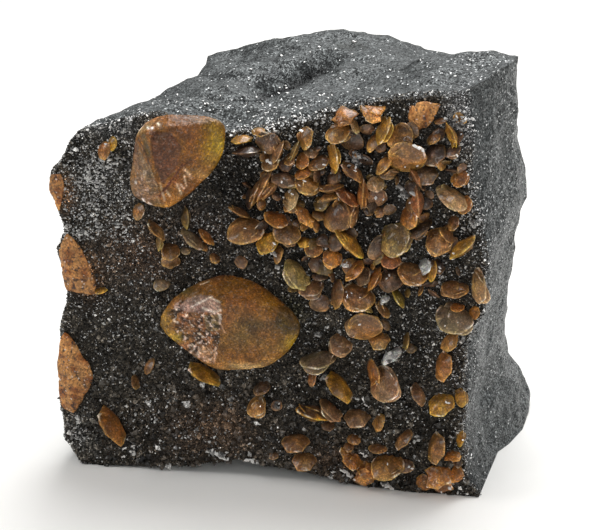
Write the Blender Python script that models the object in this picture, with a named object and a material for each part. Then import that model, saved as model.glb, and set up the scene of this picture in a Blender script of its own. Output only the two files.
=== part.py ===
"""Sturmanite on manganese ore: a block of black ore whose front face is grown over with brown crystals.

The block's twelve edges are drawn by hand, the faces are stretched between them and roughened, and
the crystals stand on the front face: two large ones, the rest small lenses, in clusters where they
grew into each other. Everything is written in millimetres and turned to metres as it is built.
The front face looks towards -Y, +Z is up, and the block rests on Z = 0.
"""
import bpy
import bmesh
import math
import numpy as np
from mathutils import Matrix, Vector
from mathutils.bvhtree import BVHTree

# Driving dimensions, in millimetres
MM = 0.001
FRONT_Y = -13.4                     # the front face at the foot of the block
FRONT_LEAN = 0.07                   # it leans back by this much for each mm of height
CELLS = (19, 10, 18)                # faces of the ore across, deep and high
GAP = 0.3                           # between the ore and what grows on it
CRYSTAL_SPREAD = 1.15               # a small crystal is this much wider than what shows of it
CRYSTAL_FLATNESS = 0.42             # half thickness of a small crystal over its radius
CRYSTAL_PROUD = (0.2, 0.5)          # how far its middle stands out, over its radius: lying flat, and on edge
BLUNT_FROM = 1.8                    # small crystals of this radius and more have blunt tips
BLUNT_TIP = (0.32, 0.88)            # radius and height of a blunt tip, over the crystal's own
LOWEST = 0.05                       # nothing beside the foot's own flat comes lower than this
SIGHT = (0.17, -1.0, 0.37)          # the way in which a crystal's place moves as it stands further out


def material(name, colour, roughness):
    """A plain Principled surface: an sRGB colour and a roughness."""
    surface = bpy.data.materials.new(name)
    surface.use_nodes = True
    shader = surface.node_tree.nodes["Principled BSDF"]
    linear = [(c / 12.92) if c <= 0.04045 else ((c + 0.055) / 1.055) ** 2.4 for c in colour]
    shader.inputs["Base Color"].default_value = (*linear, 1.0)
    shader.inputs["Roughness"].default_value = roughness
    shader.inputs["Metallic"].default_value = 0.0
    return surface


# The block's edges

FOOT_LEFT_FRONT = (-25.0, -13.4, 0.3)
FOOT_RIGHT_FRONT = (23.4, -13.4, 0.0)
FOOT_LEFT_BACK = (-20.0, 13.0, 0.0)
FOOT_RIGHT_BACK = (27.6, 13.5, 0.0)
TOP_LEFT_FRONT = (-24.4, -10.5, 41.7)
TOP_RIGHT_FRONT = (19.9, -10.0, 48.2)
TOP_LEFT_BACK = (-14.0, 12.0, 44.8)
TOP_RIGHT_BACK = (23.5, 12.0, 46.0)


def on_front(points):
    """Points (x, z) of the front face, as (x, y, z)."""
    return [(x, FRONT_Y + FRONT_LEAN * z, z) for x, z in points]


ALONG_X = {
    (0, 0): [FOOT_LEFT_FRONT, *on_front([
        (-22.8, 0.0), (-16.0, 0.4), (-12.2, 0.9), (-9.1, 1.6), (-5.3, 2.3), (-1.9, 1.8), (4.2, 1.1),
        (8.3, 0.3), (12.9, 0.0), (17.5, 0.0)]), FOOT_RIGHT_FRONT],
    (0, 1): [TOP_LEFT_FRONT, *on_front([
        (-20.5, 42.8), (-18.2, 43.4), (-15.5, 44.0), (-11.0, 43.2), (-6.6, 42.2), (-3.9, 42.6), (-0.5, 43.5),
        (2.2, 44.1), (5.2, 45.5), (9.0, 46.4), (13.4, 47.4), (17.6, 47.8)]), TOP_RIGHT_FRONT],
    (1, 0): [FOOT_LEFT_BACK, (-12.0, 15.0, 0.0), (0.0, 16.0, 0.0), (12.0, 15.8, 0.0), (22.0, 14.8, 0.0),
             FOOT_RIGHT_BACK],
    (1, 1): [TOP_LEFT_BACK, (-11.4, 12.5, 45.5), (-9.5, 12.8, 46.0), (-6.6, 12.5, 47.0), (-3.8, 13.0, 47.5),
             (-0.6, 14.1, 48.0), (1.7, 14.9, 48.0), (5.3, 16.0, 47.5), (8.1, 16.2, 47.2), (10.2, 15.4, 47.0),
             (12.3, 13.9, 46.5), (18.0, 13.0, 46.0), TOP_RIGHT_BACK],
}
ALONG_Y = {
    (0, 0): [FOOT_LEFT_FRONT, (-24.6, -6.0, 0.0), (-22.8, 4.0, 0.0), FOOT_LEFT_BACK],
    (1, 0): [FOOT_RIGHT_FRONT, (24.7, -1.6, 0.0), (25.9, 0.8, 0.0), (27.3, 5.2, 0.0), (27.7, 10.0, 0.0),
             FOOT_RIGHT_BACK],
    (0, 1): [TOP_LEFT_FRONT, (-23.2, -7.0, 42.0), (-20.4, -3.9, 42.4), (-18.1, -0.3, 42.8),
             (-16.9, 2.7, 43.2), (-15.5, 4.8, 43.4), (-14.1, 6.9, 43.5), TOP_LEFT_BACK],
    (1, 1): [TOP_RIGHT_FRONT, (22.6, -5.5, 49.3), (24.9, -0.5, 50.0), (24.6, 6.0, 48.3), TOP_RIGHT_BACK],
}
ALONG_Z = {
    (0, 0): [FOOT_LEFT_FRONT, *on_front([
        (-26.8, 2.9), (-27.2, 5.4), (-27.3, 10.3), (-27.3, 13.8), (-26.9, 16.7), (-26.3, 22.0), (-26.7, 24.9),
        (-27.3, 27.2), (-26.5, 29.5), (-27.0, 31.5), (-27.7, 34.2), (-27.9, 36.0), (-26.8, 37.4)]),
        TOP_LEFT_FRONT],
    (1, 0): [FOOT_RIGHT_FRONT, *on_front([
        (21.7, 1.8), (21.6, 4.7), (21.2, 8.4), (21.3, 12.3), (20.9, 16.1), (21.0, 19.3), (22.6, 22.2),
        (22.9, 25.5), (22.8, 28.3), (22.7, 31.0), (21.5, 34.5), (20.7, 38.4), (20.6, 41.5), (20.0, 45.8)]),
        TOP_RIGHT_FRONT],
    (0, 1): [FOOT_LEFT_BACK, (-19.2, 13.8, 10.0), (-17.8, 14.2, 22.0), (-16.2, 13.4, 34.0), TOP_LEFT_BACK],
    (1, 1): [FOOT_RIGHT_BACK, (27.5, 13.6, 1.7), (26.3, 13.2, 4.3), (24.6, 13.0, 6.8), (23.9, 13.0, 10.0),
             (24.0, 13.0, 17.0), (23.7, 13.0, 24.0), (23.8, 13.0, 26.5), (25.0, 13.0, 29.5),
             (24.9, 12.8, 33.0), (23.9, 12.5, 36.5), (23.8, 12.3, 42.0), TOP_RIGHT_BACK],
}


def along(points, t):
    """The point at share t of the length of a line through the given points."""
    line = np.array(points, float)
    steps = np.linalg.norm(np.diff(line, axis=0), axis=1)
    reached = np.concatenate([[0.0], np.cumsum(steps)]) / steps.sum()
    return np.stack([np.interp(t, reached, line[:, k]) for k in range(3)], axis=1)


def stretched(uvw):
    """Cube points (0 to 1) moved so that the cube's edges lie on the block's edges.

    Each point is the mean of the edges along X, Y and Z, weighted by how near it is to them, less
    twice the corners weighted in the same way. On a face that is the Coons patch of its four edges.
    """
    u, v, w = uvw.T
    near = {"u": (1 - u, u), "v": (1 - v, v), "w": (1 - w, w)}
    place = np.zeros_like(uvw)
    for (j, k), line in ALONG_X.items():
        place += along(line, u) * (near["v"][j] * near["w"][k])[:, None]
    for (i, k), line in ALONG_Y.items():
        place += along(line, v) * (near["u"][i] * near["w"][k])[:, None]
    for (i, j), line in ALONG_Z.items():
        place += along(line, w) * (near["u"][i] * near["v"][j])[:, None]
    for (j, k), line in ALONG_X.items():
        for i, corner in ((0, line[0]), (1, line[-1])):
            share = near["u"][i] * near["v"][j] * near["w"][k]
            place -= 2.0 * share[:, None] * np.array(corner, float)
    return place


def lumps(points, size, seed):
    """Smooth random lumps from -1 to 1, one about every size millimetres."""
    lattice = np.random.default_rng(seed).uniform(-1.0, 1.0, (32, 32, 32))
    cell = np.floor(points / size).astype(int)
    t = points / size - cell
    t = t * t * (3.0 - 2.0 * t)
    total = np.zeros(len(points))
    for corner in np.ndindex(2, 2, 2):
        share = np.prod(np.where(corner, t, 1.0 - t), axis=1)
        index = (cell + corner) % 32
        total += share * lattice[index[:, 0], index[:, 1], index[:, 2]]
    return total


# Hollows (inwards) and swellings (outwards) of the front face: x, z, half width, half height, depth
FRONT_HOLLOWS = [
    (-6.2, 36.2, 3.2, 3.4, 2.0), (14.8, 20.0, 1.8, 6.5, 1.1), (2.6, 19.4, 2.4, 3.8, 1.0),
    (-3.0, 11.6, 4.5, 2.4, 0.8), (-17.5, 17.5, 5.0, 4.0, 0.7), (-9.5, 6.5, 6.5, 3.0, 0.6),
    (16.4, 4.5, 1.6, 3.5, 0.9), (19.5, 8.6, 1.8, 1.6, 0.7), (8.0, 14.6, 2.6, 1.6, 0.8),
    (-22.0, 27.0, 3.0, 5.0, 0.6),
    (5.0, 33.5, 10.0, 8.0, -0.8), (-17.5, 24.0, 5.0, 3.0, -0.5), (10.0, 25.5, 5.0, 4.0, -0.5),
    (-14.0, 3.5, 5.0, 3.0, -0.5)]
# The dark groove across the top, as a line from near the front to the back, and its size
GROOVE = [(-4.2, -0.4), (-1.0, 2.6), (1.4, 5.6)]
GROOVE_DEPTH = 2.4
GROOVE_HALF_WIDTH = 2.0
# Lumps of each face: height, size and random seed
FRONT_LUMPS = [(0.45, 4.2, 11)]
BROKEN_LUMPS = [(1.1, 9.0, 23), (0.5, 4.0, 29)]
RIGHT_LUMPS = [(0.45, 7.0, 31), (0.2, 3.0, 37)]
TOP_LUMPS = [(0.9, 7.5, 41), (0.35, 3.5, 43)]
SHIFTS = [(0.22, 2.6, 50), (0.22, 2.6, 51), (0.22, 2.6, 52)]
BACK_OUT = 0.4                      # the back stands this much proud of its edges
EDGE_FADE = 0.07                    # share of a face over which its relief grows in from its edges
ARCH_DEPTH = 0.2                    # share of the foot, from the front, that is arched up off Z = 0


def relief(points, layers):
    """The sum of some lumps, each given as height, size and seed."""
    return sum(height * lumps(points, size, seed) for height, size, seed in layers)


def bump(x, z, half_width, half_height, px, pz):
    """A round swelling of height 1: a bell curve in both directions."""
    return np.exp(-((px - x) / half_width) ** 2 - ((pz - z) / half_height) ** 2)


def roughened(uvw, place):
    """The stretched block with its hollows, swellings, groove and broken faces.

    A point moves straight out of the face that it lies on, less and less towards the edges, and
    every point above the foot is then shifted a little by a second set of lumps.
    """
    u, v, w = uvw.T
    x, y, z = place.T
    front, back = v < 1e-6, v > 1 - 1e-6
    left, right = u < 1e-6, u > 1 - 1e-6
    foot, top = w < 1e-6, w > 1 - 1e-6
    inside = [np.clip(np.minimum(t, 1 - t) / EDGE_FADE, 0, 1) for t in (u, v, w)]
    out = place.copy()

    fade = np.minimum(inside[0], inside[2])
    grown = relief(place, FRONT_LUMPS)
    for cx, cz, half_width, half_height, depth in FRONT_HOLLOWS:
        grown -= depth * bump(cx, cz, half_width, half_height, x, z)
    out[:, 1] -= np.where(front, grown * fade, 0.0)
    broken = relief(place, BROKEN_LUMPS)
    out[:, 1] += np.where(back, (broken + BACK_OUT) * fade, 0.0)

    fade = np.minimum(inside[1], inside[2])
    out[:, 0] -= np.where(left, broken * fade, 0.0)
    out[:, 0] += np.where(right, relief(place, RIGHT_LUMPS) * fade, 0.0)

    fade = np.minimum(inside[0], inside[1])
    rise = relief(place, TOP_LUMPS)
    groove = np.array(GROOVE)
    depth = np.zeros(len(place))
    for a, b in zip(groove[:-1], groove[1:]):
        run = b - a
        t = np.clip(((x - a[0]) * run[0] + (y - a[1]) * run[1]) / (run @ run), 0, 1)
        away = np.hypot(x - a[0] - t * run[0], y - a[1] - t * run[1])
        depth = np.maximum(depth, GROOVE_DEPTH * np.exp(-(away / GROOVE_HALF_WIDTH) ** 2))
    out[:, 2] += np.where(top, (rise - depth) * fade, 0.0)

    shift = np.stack([relief(place, [layer]) for layer in SHIFTS], axis=1)
    out += np.where(foot[:, None], 0.0, shift)
    arch = np.clip(z, 0, None) * np.clip(1 - v / ARCH_DEPTH, 0, 1)
    out[:, 2] = np.where(foot, arch, np.maximum(out[:, 2], LOWEST))
    return out


def ore_mesh():
    """The ore block: a cube sliced into cells, then stretched and roughened, its foot left flat."""
    mesh = bmesh.new()
    bmesh.ops.create_cube(mesh, size=1.0, matrix=Matrix.Translation((0.5, 0.5, 0.5)))
    for axis, cells in enumerate(CELLS):
        normal = Vector([float(axis == k) for k in range(3)])
        for k in range(1, cells):
            everything = mesh.verts[:] + mesh.edges[:] + mesh.faces[:]
            bmesh.ops.bisect_plane(mesh, geom=everything, plane_co=normal * (k / cells), plane_no=normal)
    uvw = np.array([tuple(vert.co) for vert in mesh.verts])
    place = roughened(uvw, stretched(uvw))
    for vert, co in zip(mesh.verts, place * MM):
        vert.co = co
    bmesh.ops.triangulate(mesh, faces=mesh.faces[:])
    bmesh.ops.dissolve_limit(mesh, angle_limit=0.002, verts=mesh.verts[:], edges=mesh.edges[:])
    bmesh.ops.triangulate(mesh, faces=mesh.faces[:])
    return mesh


def new_object(name, mesh, collection, surface):
    """An object of its own from a bmesh, with its one material."""
    bmesh.ops.recalc_face_normals(mesh, faces=mesh.faces[:])
    data = bpy.data.meshes.new(name)
    mesh.to_mesh(data)
    mesh.free()
    data.materials.append(surface)
    obj = bpy.data.objects.new(name, data)
    collection.objects.link(obj)
    return obj


# Crystals

class Face:
    """The front face of the ore, to stand crystals on."""

    def __init__(self, ore_object):
        mesh = bmesh.new()
        mesh.from_mesh(ore_object.data)
        self.tree = BVHTree.FromBMesh(mesh)
        mesh.free()

    def place(self, x, z, proud):
        """The point that stands proud mm out from the ore, on the line of sight through (x, z)."""
        away = Vector(SIGHT)
        start = Vector((x, FRONT_Y + FRONT_LEAN * z, z)) + 12.0 * away
        hit = self.tree.ray_cast(start * MM, -away)[0]
        if hit is None:
            hit = (start - 12.0 * away) * MM
        return hit / MM + proud * away


def lens_points(radius, spin):
    """Corners of a flattened six-sided double pyramid, its axis along Z.

    The girdle's corners lie on a circle that wavers by a few parts in a hundred. The larger
    crystals have blunt tips, each a small three-sided face.
    """
    points = []
    for k in range(6):
        turn = spin + math.pi * k / 3
        waver = 1.0 + 0.06 * math.sin(3.0 * k + 7.0 * spin)
        points.append((radius * waver * math.cos(turn), radius * waver * math.sin(turn), 0.0))
    height = CRYSTAL_FLATNESS * radius
    if radius < BLUNT_FROM:
        return points + [(0.0, 0.0, height), (0.0, 0.0, -height)]
    tip = BLUNT_TIP[0] * radius
    for k in range(3):
        for side, turn in ((-1, spin + 2 * math.pi * k / 3), (1, spin + 2 * math.pi * (k + 0.5) / 3)):
            points.append((tip * math.cos(turn), tip * math.sin(turn), side * BLUNT_TIP[1] * height))
    return points


def leaned(lean, turn):
    """A turn that takes Z to the crystal's own axis: lean degrees from straight out of the front
    face, towards the direction turn degrees round from +X as seen from the front."""
    across = Vector((1.0, 0.0, 0.0))
    upwards = Vector((0.0, FRONT_LEAN, 1.0)).normalized()
    outwards = Vector((0.0, -1.0, FRONT_LEAN)).normalized()
    tilt, way = math.radians(lean), math.radians(turn)
    axis = outwards * math.cos(tilt) + (across * math.cos(way) + upwards * math.sin(way)) * math.sin(tilt)
    return axis.to_track_quat("Z", "Y").to_matrix()


def add_hull(mesh, points):
    """Adds the solid that wraps the given points (in mm)."""
    verts = [mesh.verts.new(Vector(p) * MM) for p in points]
    wrap = bmesh.ops.convex_hull(mesh, input=verts)
    inner = [g for g in wrap["geom_interior"] + wrap["geom_unused"] if isinstance(g, bmesh.types.BMVert)]
    bmesh.ops.delete(mesh, geom=list(set(inner)), context="VERTS")


def crystals_mesh(face, rows):
    """One bmesh of small crystals: each row is x, z, radius, lean and direction of the lean."""
    mesh = bmesh.new()
    for x, z, shown, lean, turn in rows:
        radius = CRYSTAL_SPREAD * shown
        proud = radius * float(np.interp(math.sin(math.radians(lean)), (0, 1), CRYSTAL_PROUD))
        centre = face.place(x, z, proud)
        spin = 1.7 * x + 2.3 * z
        turned = leaned(lean, turn)
        add_hull(mesh, [turned @ Vector(p) + centre for p in lens_points(radius, spin)])
    return mesh


# Small crystals by place: x and z on the front face, radius, lean of the axis, direction of the lean
SMALL_CRYSTALS = {
    "cluster_upper_middle_a": [
        (-2.1, 39.3, 1.1, 30, 100), (-2.7, 38.0, 1.1, 68, 0), (-3.9, 36.2, 1.75, 72, 8),
        (-3.1, 36.0, 1.95, 70, 10), (-2.3, 35.8, 1.75, 68, 12)],
    "cluster_upper_middle_b": [
        (1.9, 38.3, 0.95, 40, 90), (2.3, 37.0, 1.35, 15, 90)],
    "cluster_upper_middle_c": [
        (-4.7, 34.9, 1.3, 72, 0), (-5.4, 33.2, 1.6, 62, 62), (-2.9, 31.6, 1.3, 68, 20),
        (-4.7, 31.2, 1.75, 15, 90), (-1.9, 30.2, 1.3, 30, -60)],
    "cluster_upper_middle_d": [
        (-1.2, 33.0, 1.5, 68, 90), (0.2, 31.4, 1.5, 35, 60), (2.1, 30.3, 1.1, 58, 30),
        (3.3, 29.2, 1.25, 66, 90), (5.1, 28.3, 1.25, 40, 60)],
    "cluster_top_middle_a": [
        (-3.2, 42.5, 0.75, 50, 60), (-2.0, 41.6, 1.2, 20, 90), (-0.9, 41.0, 1.1, 75, 0),
        (-3.9, 40.7, 1.2, 45, 150)],
    "cluster_top_middle_b": [
        (0.8, 41.0, 1.2, 80, 0), (0.5, 39.5, 0.85, 50, -30)],
    "cluster_top_middle_c": [
        (2.4, 42.2, 1.1, 35, 60), (2.8, 40.6, 0.85, 50, 20), (1.7, 39.6, 0.85, 40, 120),
        (3.7, 39.3, 1.1, 50, 45)],
    "crystal_upper_middle": [
        (-0.4, 37.3, 1.35, 50, 70)],
    "cluster_upper_right_a": [
        (5.3, 36.9, 1.35, 68, 90), (7.0, 36.0, 1.4, 62, 45)],
    "cluster_upper_right_b": [
        (9.9, 37.5, 1.15, 30, 90), (8.8, 36.0, 1.3, 74, 0), (10.3, 36.0, 1.15, 35, 45)],
    "cluster_upper_right_c": [
        (8.1, 33.6, 1.45, 78, 0), (6.0, 33.2, 1.75, 25, 110), (7.6, 30.7, 2.15, 70, 45)],
    "cluster_top_right_a": [
        (6.0, 43.0, 1.25, 25, 90), (7.4, 42.0, 1.35, 20, 45), (5.8, 40.2, 1.35, 74, 0)],
    "cluster_top_right_b": [
        (11.1, 43.7, 1.75, 70, -30), (12.7, 43.0, 1.45, 35, 60), (13.3, 40.9, 2.15, 20, 60)],
    "crystal_top_right": [
        (7.2, 38.5, 1.35, 66, 135)],
    "crystal_upper_far_right_a": [
        (14.6, 36.3, 1.35, 70, 10)],
    "crystal_upper_far_right_b": [
        (20.2, 31.2, 1.65, 68, -45)],
    "crystal_top_far_right_a": [
        (15.8, 38.8, 1.4, 30, 120)],
    "crystal_top_far_right_b": [
        (16.7, 41.0, 1.3, 35, 45)],
    "cluster_top_far_right": [
        (18.3, 43.5, 1.55, 76, 20), (18.9, 42.0, 0.85, 40, 90)],
    "cluster_upper_far_right_a": [
        (19.8, 38.6, 0.95, 50, 30), (18.8, 36.8, 1.95, 30, 80), (20.2, 35.3, 1.25, 50, 0)],
    "cluster_upper_far_right_b": [
        (13.6, 34.0, 1.4, 35, 200), (15.3, 33.4, 1.35, 66, 45), (18.9, 33.3, 1.25, 62, 80),
        (18.0, 32.1, 1.4, 70, -30), (17.1, 31.3, 1.6, 30, 60)],
    "crystal_centre_left": [
        (-15.4, 30.0, 1.25, 83, 60)],
    "crystal_upper_left": [
        (-11.6, 30.9, 1.35, 77, 0)],
    "cluster_centre_right_a": [
        (12.0, 31.4, 1.8, 20, 100), (11.0, 30.0, 1.6, 30, -90), (11.9, 28.6, 1.15, 30, 90)],
    "cluster_centre_right_b": [
        (7.2, 26.1, 1.3, 40, 0), (6.4, 23.8, 1.75, 72, 0), (8.5, 23.7, 1.6, 30, 45),
        (9.3, 22.3, 1.1, 40, 270), (9.8, 20.7, 1.55, 35, 30), (8.3, 20.2, 1.45, 30, 150),
        (7.8, 19.8, 1.15, 68, 20)],
    "cluster_centre_right_c": [
        (12.2, 23.6, 0.85, 50, 40), (11.4, 22.7, 1.5, 70, 50)],
    "cluster_centre_right_d": [
        (16.2, 28.0, 1.25, 35, 120), (17.0, 27.3, 1.25, 60, 0), (14.7, 27.1, 1.9, 25, 60),
        (12.3, 26.5, 1.5, 25, 90), (10.4, 26.4, 1.4, 62, 0), (9.3, 26.3, 1.25, 40, 180),
        (13.2, 24.0, 1.55, 70, 25)],
    "cluster_centre_left": [
        (-11.1, 28.5, 0.95, 30, 200), (-12.1, 28.0, 0.7, 40, 90), (-13.1, 27.5, 1, 15, 90),
        (-13.4, 26.3, 1.2, 30, 270)],
    "cluster_centre_middle": [
        (1.4, 26.2, 2, 42, 35), (3.4, 24.4, 1.45, 58, 70)],
    "cluster_centre_far_right_a": [
        (19.9, 23.4, 0.95, 40, 90), (19.4, 21.6, 1.9, 15, 90)],
    "cluster_centre_far_right_b": [
        (19.5, 25.6, 1.75, 52, 90), (21.7, 25.5, 1.9, 58, 0)],
    "crystal_lower_left": [
        (-9.6, 12.6, 1.9, 68, 75)],
    "cluster_lower_right_a": [
        (6.8, 17.7, 1.35, 15, 90), (4.1, 15.7, 2, 72, 109)],
    "cluster_lower_right_b": [
        (10.5, 14.6, 1.5, 78, 0), (11.9, 13.1, 1.7, 20, 90)],
    "crystal_lower_right_a": [
        (6.6, 12.4, 1.95, 72, 48)],
    "crystal_lower_right_b": [
        (11.0, 18.7, 1.3, 50, 40)],
    "crystal_lower_right_c": [
        (12.6, 17.0, 1.3, 65, -45)],
    "crystal_lower_far_right_a": [
        (15.9, 12.3, 1.3, 52, 45)],
    "crystal_lower_far_right_b": [
        (18.6, 15.8, 1.6, 48, 0)],
    "crystal_foot_left": [
        (-20.6, 5.6, 2.05, 68, 32)],
    "cluster_foot_middle": [
        (-2.6, 11.6, 0.95, 35, 90), (-3.2, 9.5, 1.3, 28, -20)],
    "crystal_foot_middle_a": [
        (1.6, 5.3, 1.35, 30, 90)],
    "crystal_foot_middle_b": [
        (2.5, 2.9, 1.3, 25, 90)],
    "cluster_foot_right_a": [
        (5.8, 9.8, 1.35, 35, 30), (3.5, 9.0, 1.9, 68, 95)],
    "cluster_foot_right_b": [
        (8.6, 3.6, 1.4, 30, 120), (10.2, 3.4, 1.25, 45, 60), (12.3, 3.4, 1.85, 25, 90),
        (14.5, 3.2, 0.9, 40, 45), (9.4, 1.9, 1.4, 35, 250)],
    "crystal_foot_right": [
        (8.6, 9.3, 1.35, 25, 80)],
    "crystal_foot_far_right_a": [
        (14.2, 6.9, 1.3, 68, -30)],
    "crystal_foot_far_right_b": [
        (18.1, 5.9, 1.95, 70, 0)],
    "crystal_foot_far_right_c": [
        (18.5, 11.1, 1.4, 25, 60)],
    "cluster_foot_far_right": [
        (18.3, 2.7, 1.4, 25, 80), (17.3, 1.6, 1.05, 40, 200), (18.9, 1.4, 1.15, 45, 270)],
}
# The smallest single crystals, which are one piece with the ore
CRYSTALS_ON_ORE = [
    (9.2, 45.4, 1.2, 45, 90), (6.3, 44.9, 1.2, 40, 90), (9.8, 42.3, 1.2, 58, 20),
    (-20.1, 40.1, 0.8, 60, 20), (-21.4, 39.3, 1.15, 65, 0), (11.2, 39.2, 1.1, 45, 120),
    (0.5, 34.9, 1.2, 20, 90), (2.5, 33.8, 1.2, 35, 100), (-17.3, 31.6, 1.05, 50, 0),
    (5.8, 30.4, 1.2, 50, 0), (-9.8, 29.5, 0.8, 65, 40), (-9.0, 28.8, 0.75, 40, 120),
    (-0.8, 28.6, 0.8, 40, 90), (7.5, 28.2, 1.2, 58, 30), (-14.7, 27.8, 0.7, 50, 150),
    (-5.2, 27.0, 0.75, 20, 90), (3.8, 27.0, 0.95, 30, 60), (-8.4, 26.9, 0.6, 40, 90),
    (1.1, 24.4, 0.95, 50, 90), (4.05, 22.8, 1.25, 15, 90), (21.7, 22.5, 1.1, 58, 0),
    (14.3, 18.9, 0.9, 68, 0), (19.0, 18.8, 1, 40, 0), (14.9, 18.0, 0.65, 40, 60),
    (3.3, 13.6, 0.95, 72, 0), (-16.2, 13.3, 1, 65, -20), (20.4, 12.3, 0.95, 45, 0),
    (-18.1, 11.3, 1.05, 68, 0), (11.3, 8.7, 1.25, 70, 0), (5.5, 7.6, 0.75, 50, 60),
    (8.6, 6.4, 0.6, 40, 45), (21.0, 6.2, 0.95, 72, 0), (11.2, 5.3, 0.95, 68, 90),
    (19.9, 4.9, 0.75, 50, 90), (20.4, 4.0, 0.75, 50, 20), (-1.2, 3.2, 0.6, 30, 90),
    (20.7, 2.6, 1.05, 50, 30)]

# Corners of the larger crystals and of the broken ones: x, z, and how far out from the front face
LARGE_CRYSTALS = {
    "large_crystal_lower": [
        (-14.6, 20.5, 2.2), (-14.4, 19.0, 2.2), (-7.5, 14.4, 2.6), (-4.7, 14.6, 2.6), (-1.1, 15.5, 2.6),
        (1.4, 17.7, 2.3), (2.6, 20.8, 1.6), (1.2, 22.3, 1.4), (-3.3, 25.5, 1.4), (-7.3, 26.3, 1.4),
        (-9.2, 25.4, 1.5), (-12.3, 23.9, 1.6), (-14.3, 21.7, 2.0),
        (-6.3, 24.0, 5.5), (-8.7, 24.6, 4.7), (-11.0, 23.5, 3.5), (-0.6, 23.2, 3.6),
        (-7.4, 15.8, 3.5), (-1.8, 16.5, 3.6), (1.0, 18.3, 3.1),
        (-9.5, 18.5, -2.6), (-2.5, 18.5, -2.6), (-2.5, 21.5, -2.6), (-9.5, 21.5, -2.6)],
    "large_crystal_upper": [
        (-17.7, 38.1, 2.0), (-17.9, 36.3, 2.0), (-17.2, 34.5, 2.0), (-14.3, 33.6, 2.2), (-12.7, 33.8, 2.2),
        (-10.7, 35.3, 2.0), (-8.5, 37.7, 1.8), (-7.1, 39.4, 1.8), (-6.6, 41.8, 1.6), (-6.6, 43.8, 1.5),
        (-8.0, 44.7, 1.5), (-13.1, 44.7, 2.2), (-14.0, 44.9, 2.4), (-15.0, 44.5, 2.6), (-16.6, 43.3, 2.6),
        (-16.9, 41.8, 2.4),
        (-16.3, 42.6, 3.6), (-14.6, 43.5, 5.0), (-14.4, 39.9, 5.3), (-15.6, 41.0, 4.3), (-13.7, 36.2, 3.8),
        (-12.4, 44.0, 4.6), (-8.2, 44.0, 2.9),
        (-14.0, 37.0, -1.6), (-10.0, 39.5, -1.6), (-14.0, 41.0, -1.6)],
}
BROKEN_CRYSTALS = {
    "broken_crystal_left_top": [
        (-27.8, 36.4, 0.3), (-28.1, 34.6, 0.4), (-27.4, 33.0, 0.3), (-26.4, 33.2, 0.5), (-25.9, 35.0, 0.6),
        (-26.4, 36.6, 0.5), (-27.0, 35.0, 0.9), (-27.0, 35.0, -1.6)],
    "broken_crystal_left_middle": [
        (-27.0, 29.4, 0.2), (-27.6, 27.4, 0.4), (-27.2, 24.8, 0.4), (-26.6, 22.4, 0.3), (-25.2, 21.9, 0.6),
        (-24.3, 23.2, 0.6), (-24.6, 26.0, 0.7), (-25.5, 28.8, 0.6), (-26.2, 26.6, 1.2), (-25.8, 24.0, 1.1),
        (-26.2, 26.0, -1.8)],
    "broken_crystal_left_bottom": [
        (-27.3, 16.8, 0.2), (-27.7, 13.5, 0.5), (-27.7, 9.8, 0.5), (-27.4, 7.0, 0.4), (-25.4, 6.3, 0.6),
        (-24.0, 8.6, 0.7), (-23.0, 11.0, 0.6), (-23.2, 12.9, 0.6), (-25.0, 15.2, 0.7), (-25.6, 16.9, 0.5),
        (-26.2, 13.0, 1.3), (-25.6, 9.0, 1.2), (-26.2, 11.5, -2.0)],
    "broken_crystal_top_edge": [
        (13.6, 44.6, 0.4), (15.2, 44.0, 0.5), (17.2, 44.4, 0.5), (18.0, 45.8, 0.4), (17.6, 47.2, 0.3),
        (15.0, 47.2, 0.4), (13.4, 46.2, 0.4), (15.6, 45.8, 1.1), (15.6, 45.6, -1.6)],
}


def large_crystal_mesh(corners):
    """A solid that wraps corners given as x, z and height over the front face."""
    mesh = bmesh.new()
    place = np.array([(x, FRONT_Y + FRONT_LEAN * z - height, z) for x, z, height in corners])
    add_hull(mesh, place)
    return mesh


def cut_clear_of(obj, cutter):
    """Takes the swollen ore away from a crystal, and joins the crystals that overlap in it."""
    cut = obj.modifiers.new("clear of the ore", "BOOLEAN")
    cut.operation = "DIFFERENCE"
    cut.solver = "EXACT"
    cut.use_self = True
    cut.object = cutter


def build():
    """Clears the scene and models the specimen."""
    for obj in list(bpy.data.objects):
        bpy.data.objects.remove(obj, do_unlink=True)
    specimen = bpy.data.collections.new("sturmanite specimen")
    cutters = bpy.data.collections.new("cutters")
    for collection in (specimen, cutters):
        bpy.context.scene.collection.children.link(collection)
    ore_black = material("manganese ore", (0.27, 0.27, 0.26), 0.6)
    brown = material("sturmanite crystal, brown", (0.48, 0.31, 0.17), 0.35)
    terracotta = material("sturmanite, broken", (0.53, 0.38, 0.24), 0.7)

    ore = new_object("ore_matrix", ore_mesh(), specimen, ore_black)
    swollen = new_object("swollen_ore", ore_mesh(), cutters, ore_black)
    swell = swollen.modifiers.new("gap", "DISPLACE")
    swell.direction = "NORMAL"
    swell.mid_level = 0.0
    swell.strength = GAP * MM
    swollen.hide_render = True
    swollen.display_type = "WIRE"
    face = Face(ore)

    for name, corners in LARGE_CRYSTALS.items():
        cut_clear_of(new_object(name, large_crystal_mesh(corners), specimen, brown), swollen)
    for name, corners in BROKEN_CRYSTALS.items():
        cut_clear_of(new_object(name, large_crystal_mesh(corners), specimen, terracotta), swollen)
    for name, rows in SMALL_CRYSTALS.items():
        cut_clear_of(new_object(name, crystals_mesh(face, rows), specimen, brown), swollen)
    seeds = new_object("crystals_on_ore", crystals_mesh(face, CRYSTALS_ON_ORE), cutters, brown)
    seeds.hide_render = True
    seeds.display_type = "WIRE"
    grown = ore.modifiers.new("crystals on the ore", "BOOLEAN")
    grown.operation = "UNION"
    grown.solver = "EXACT"
    grown.use_self = True
    grown.object = seeds


build()
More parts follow.
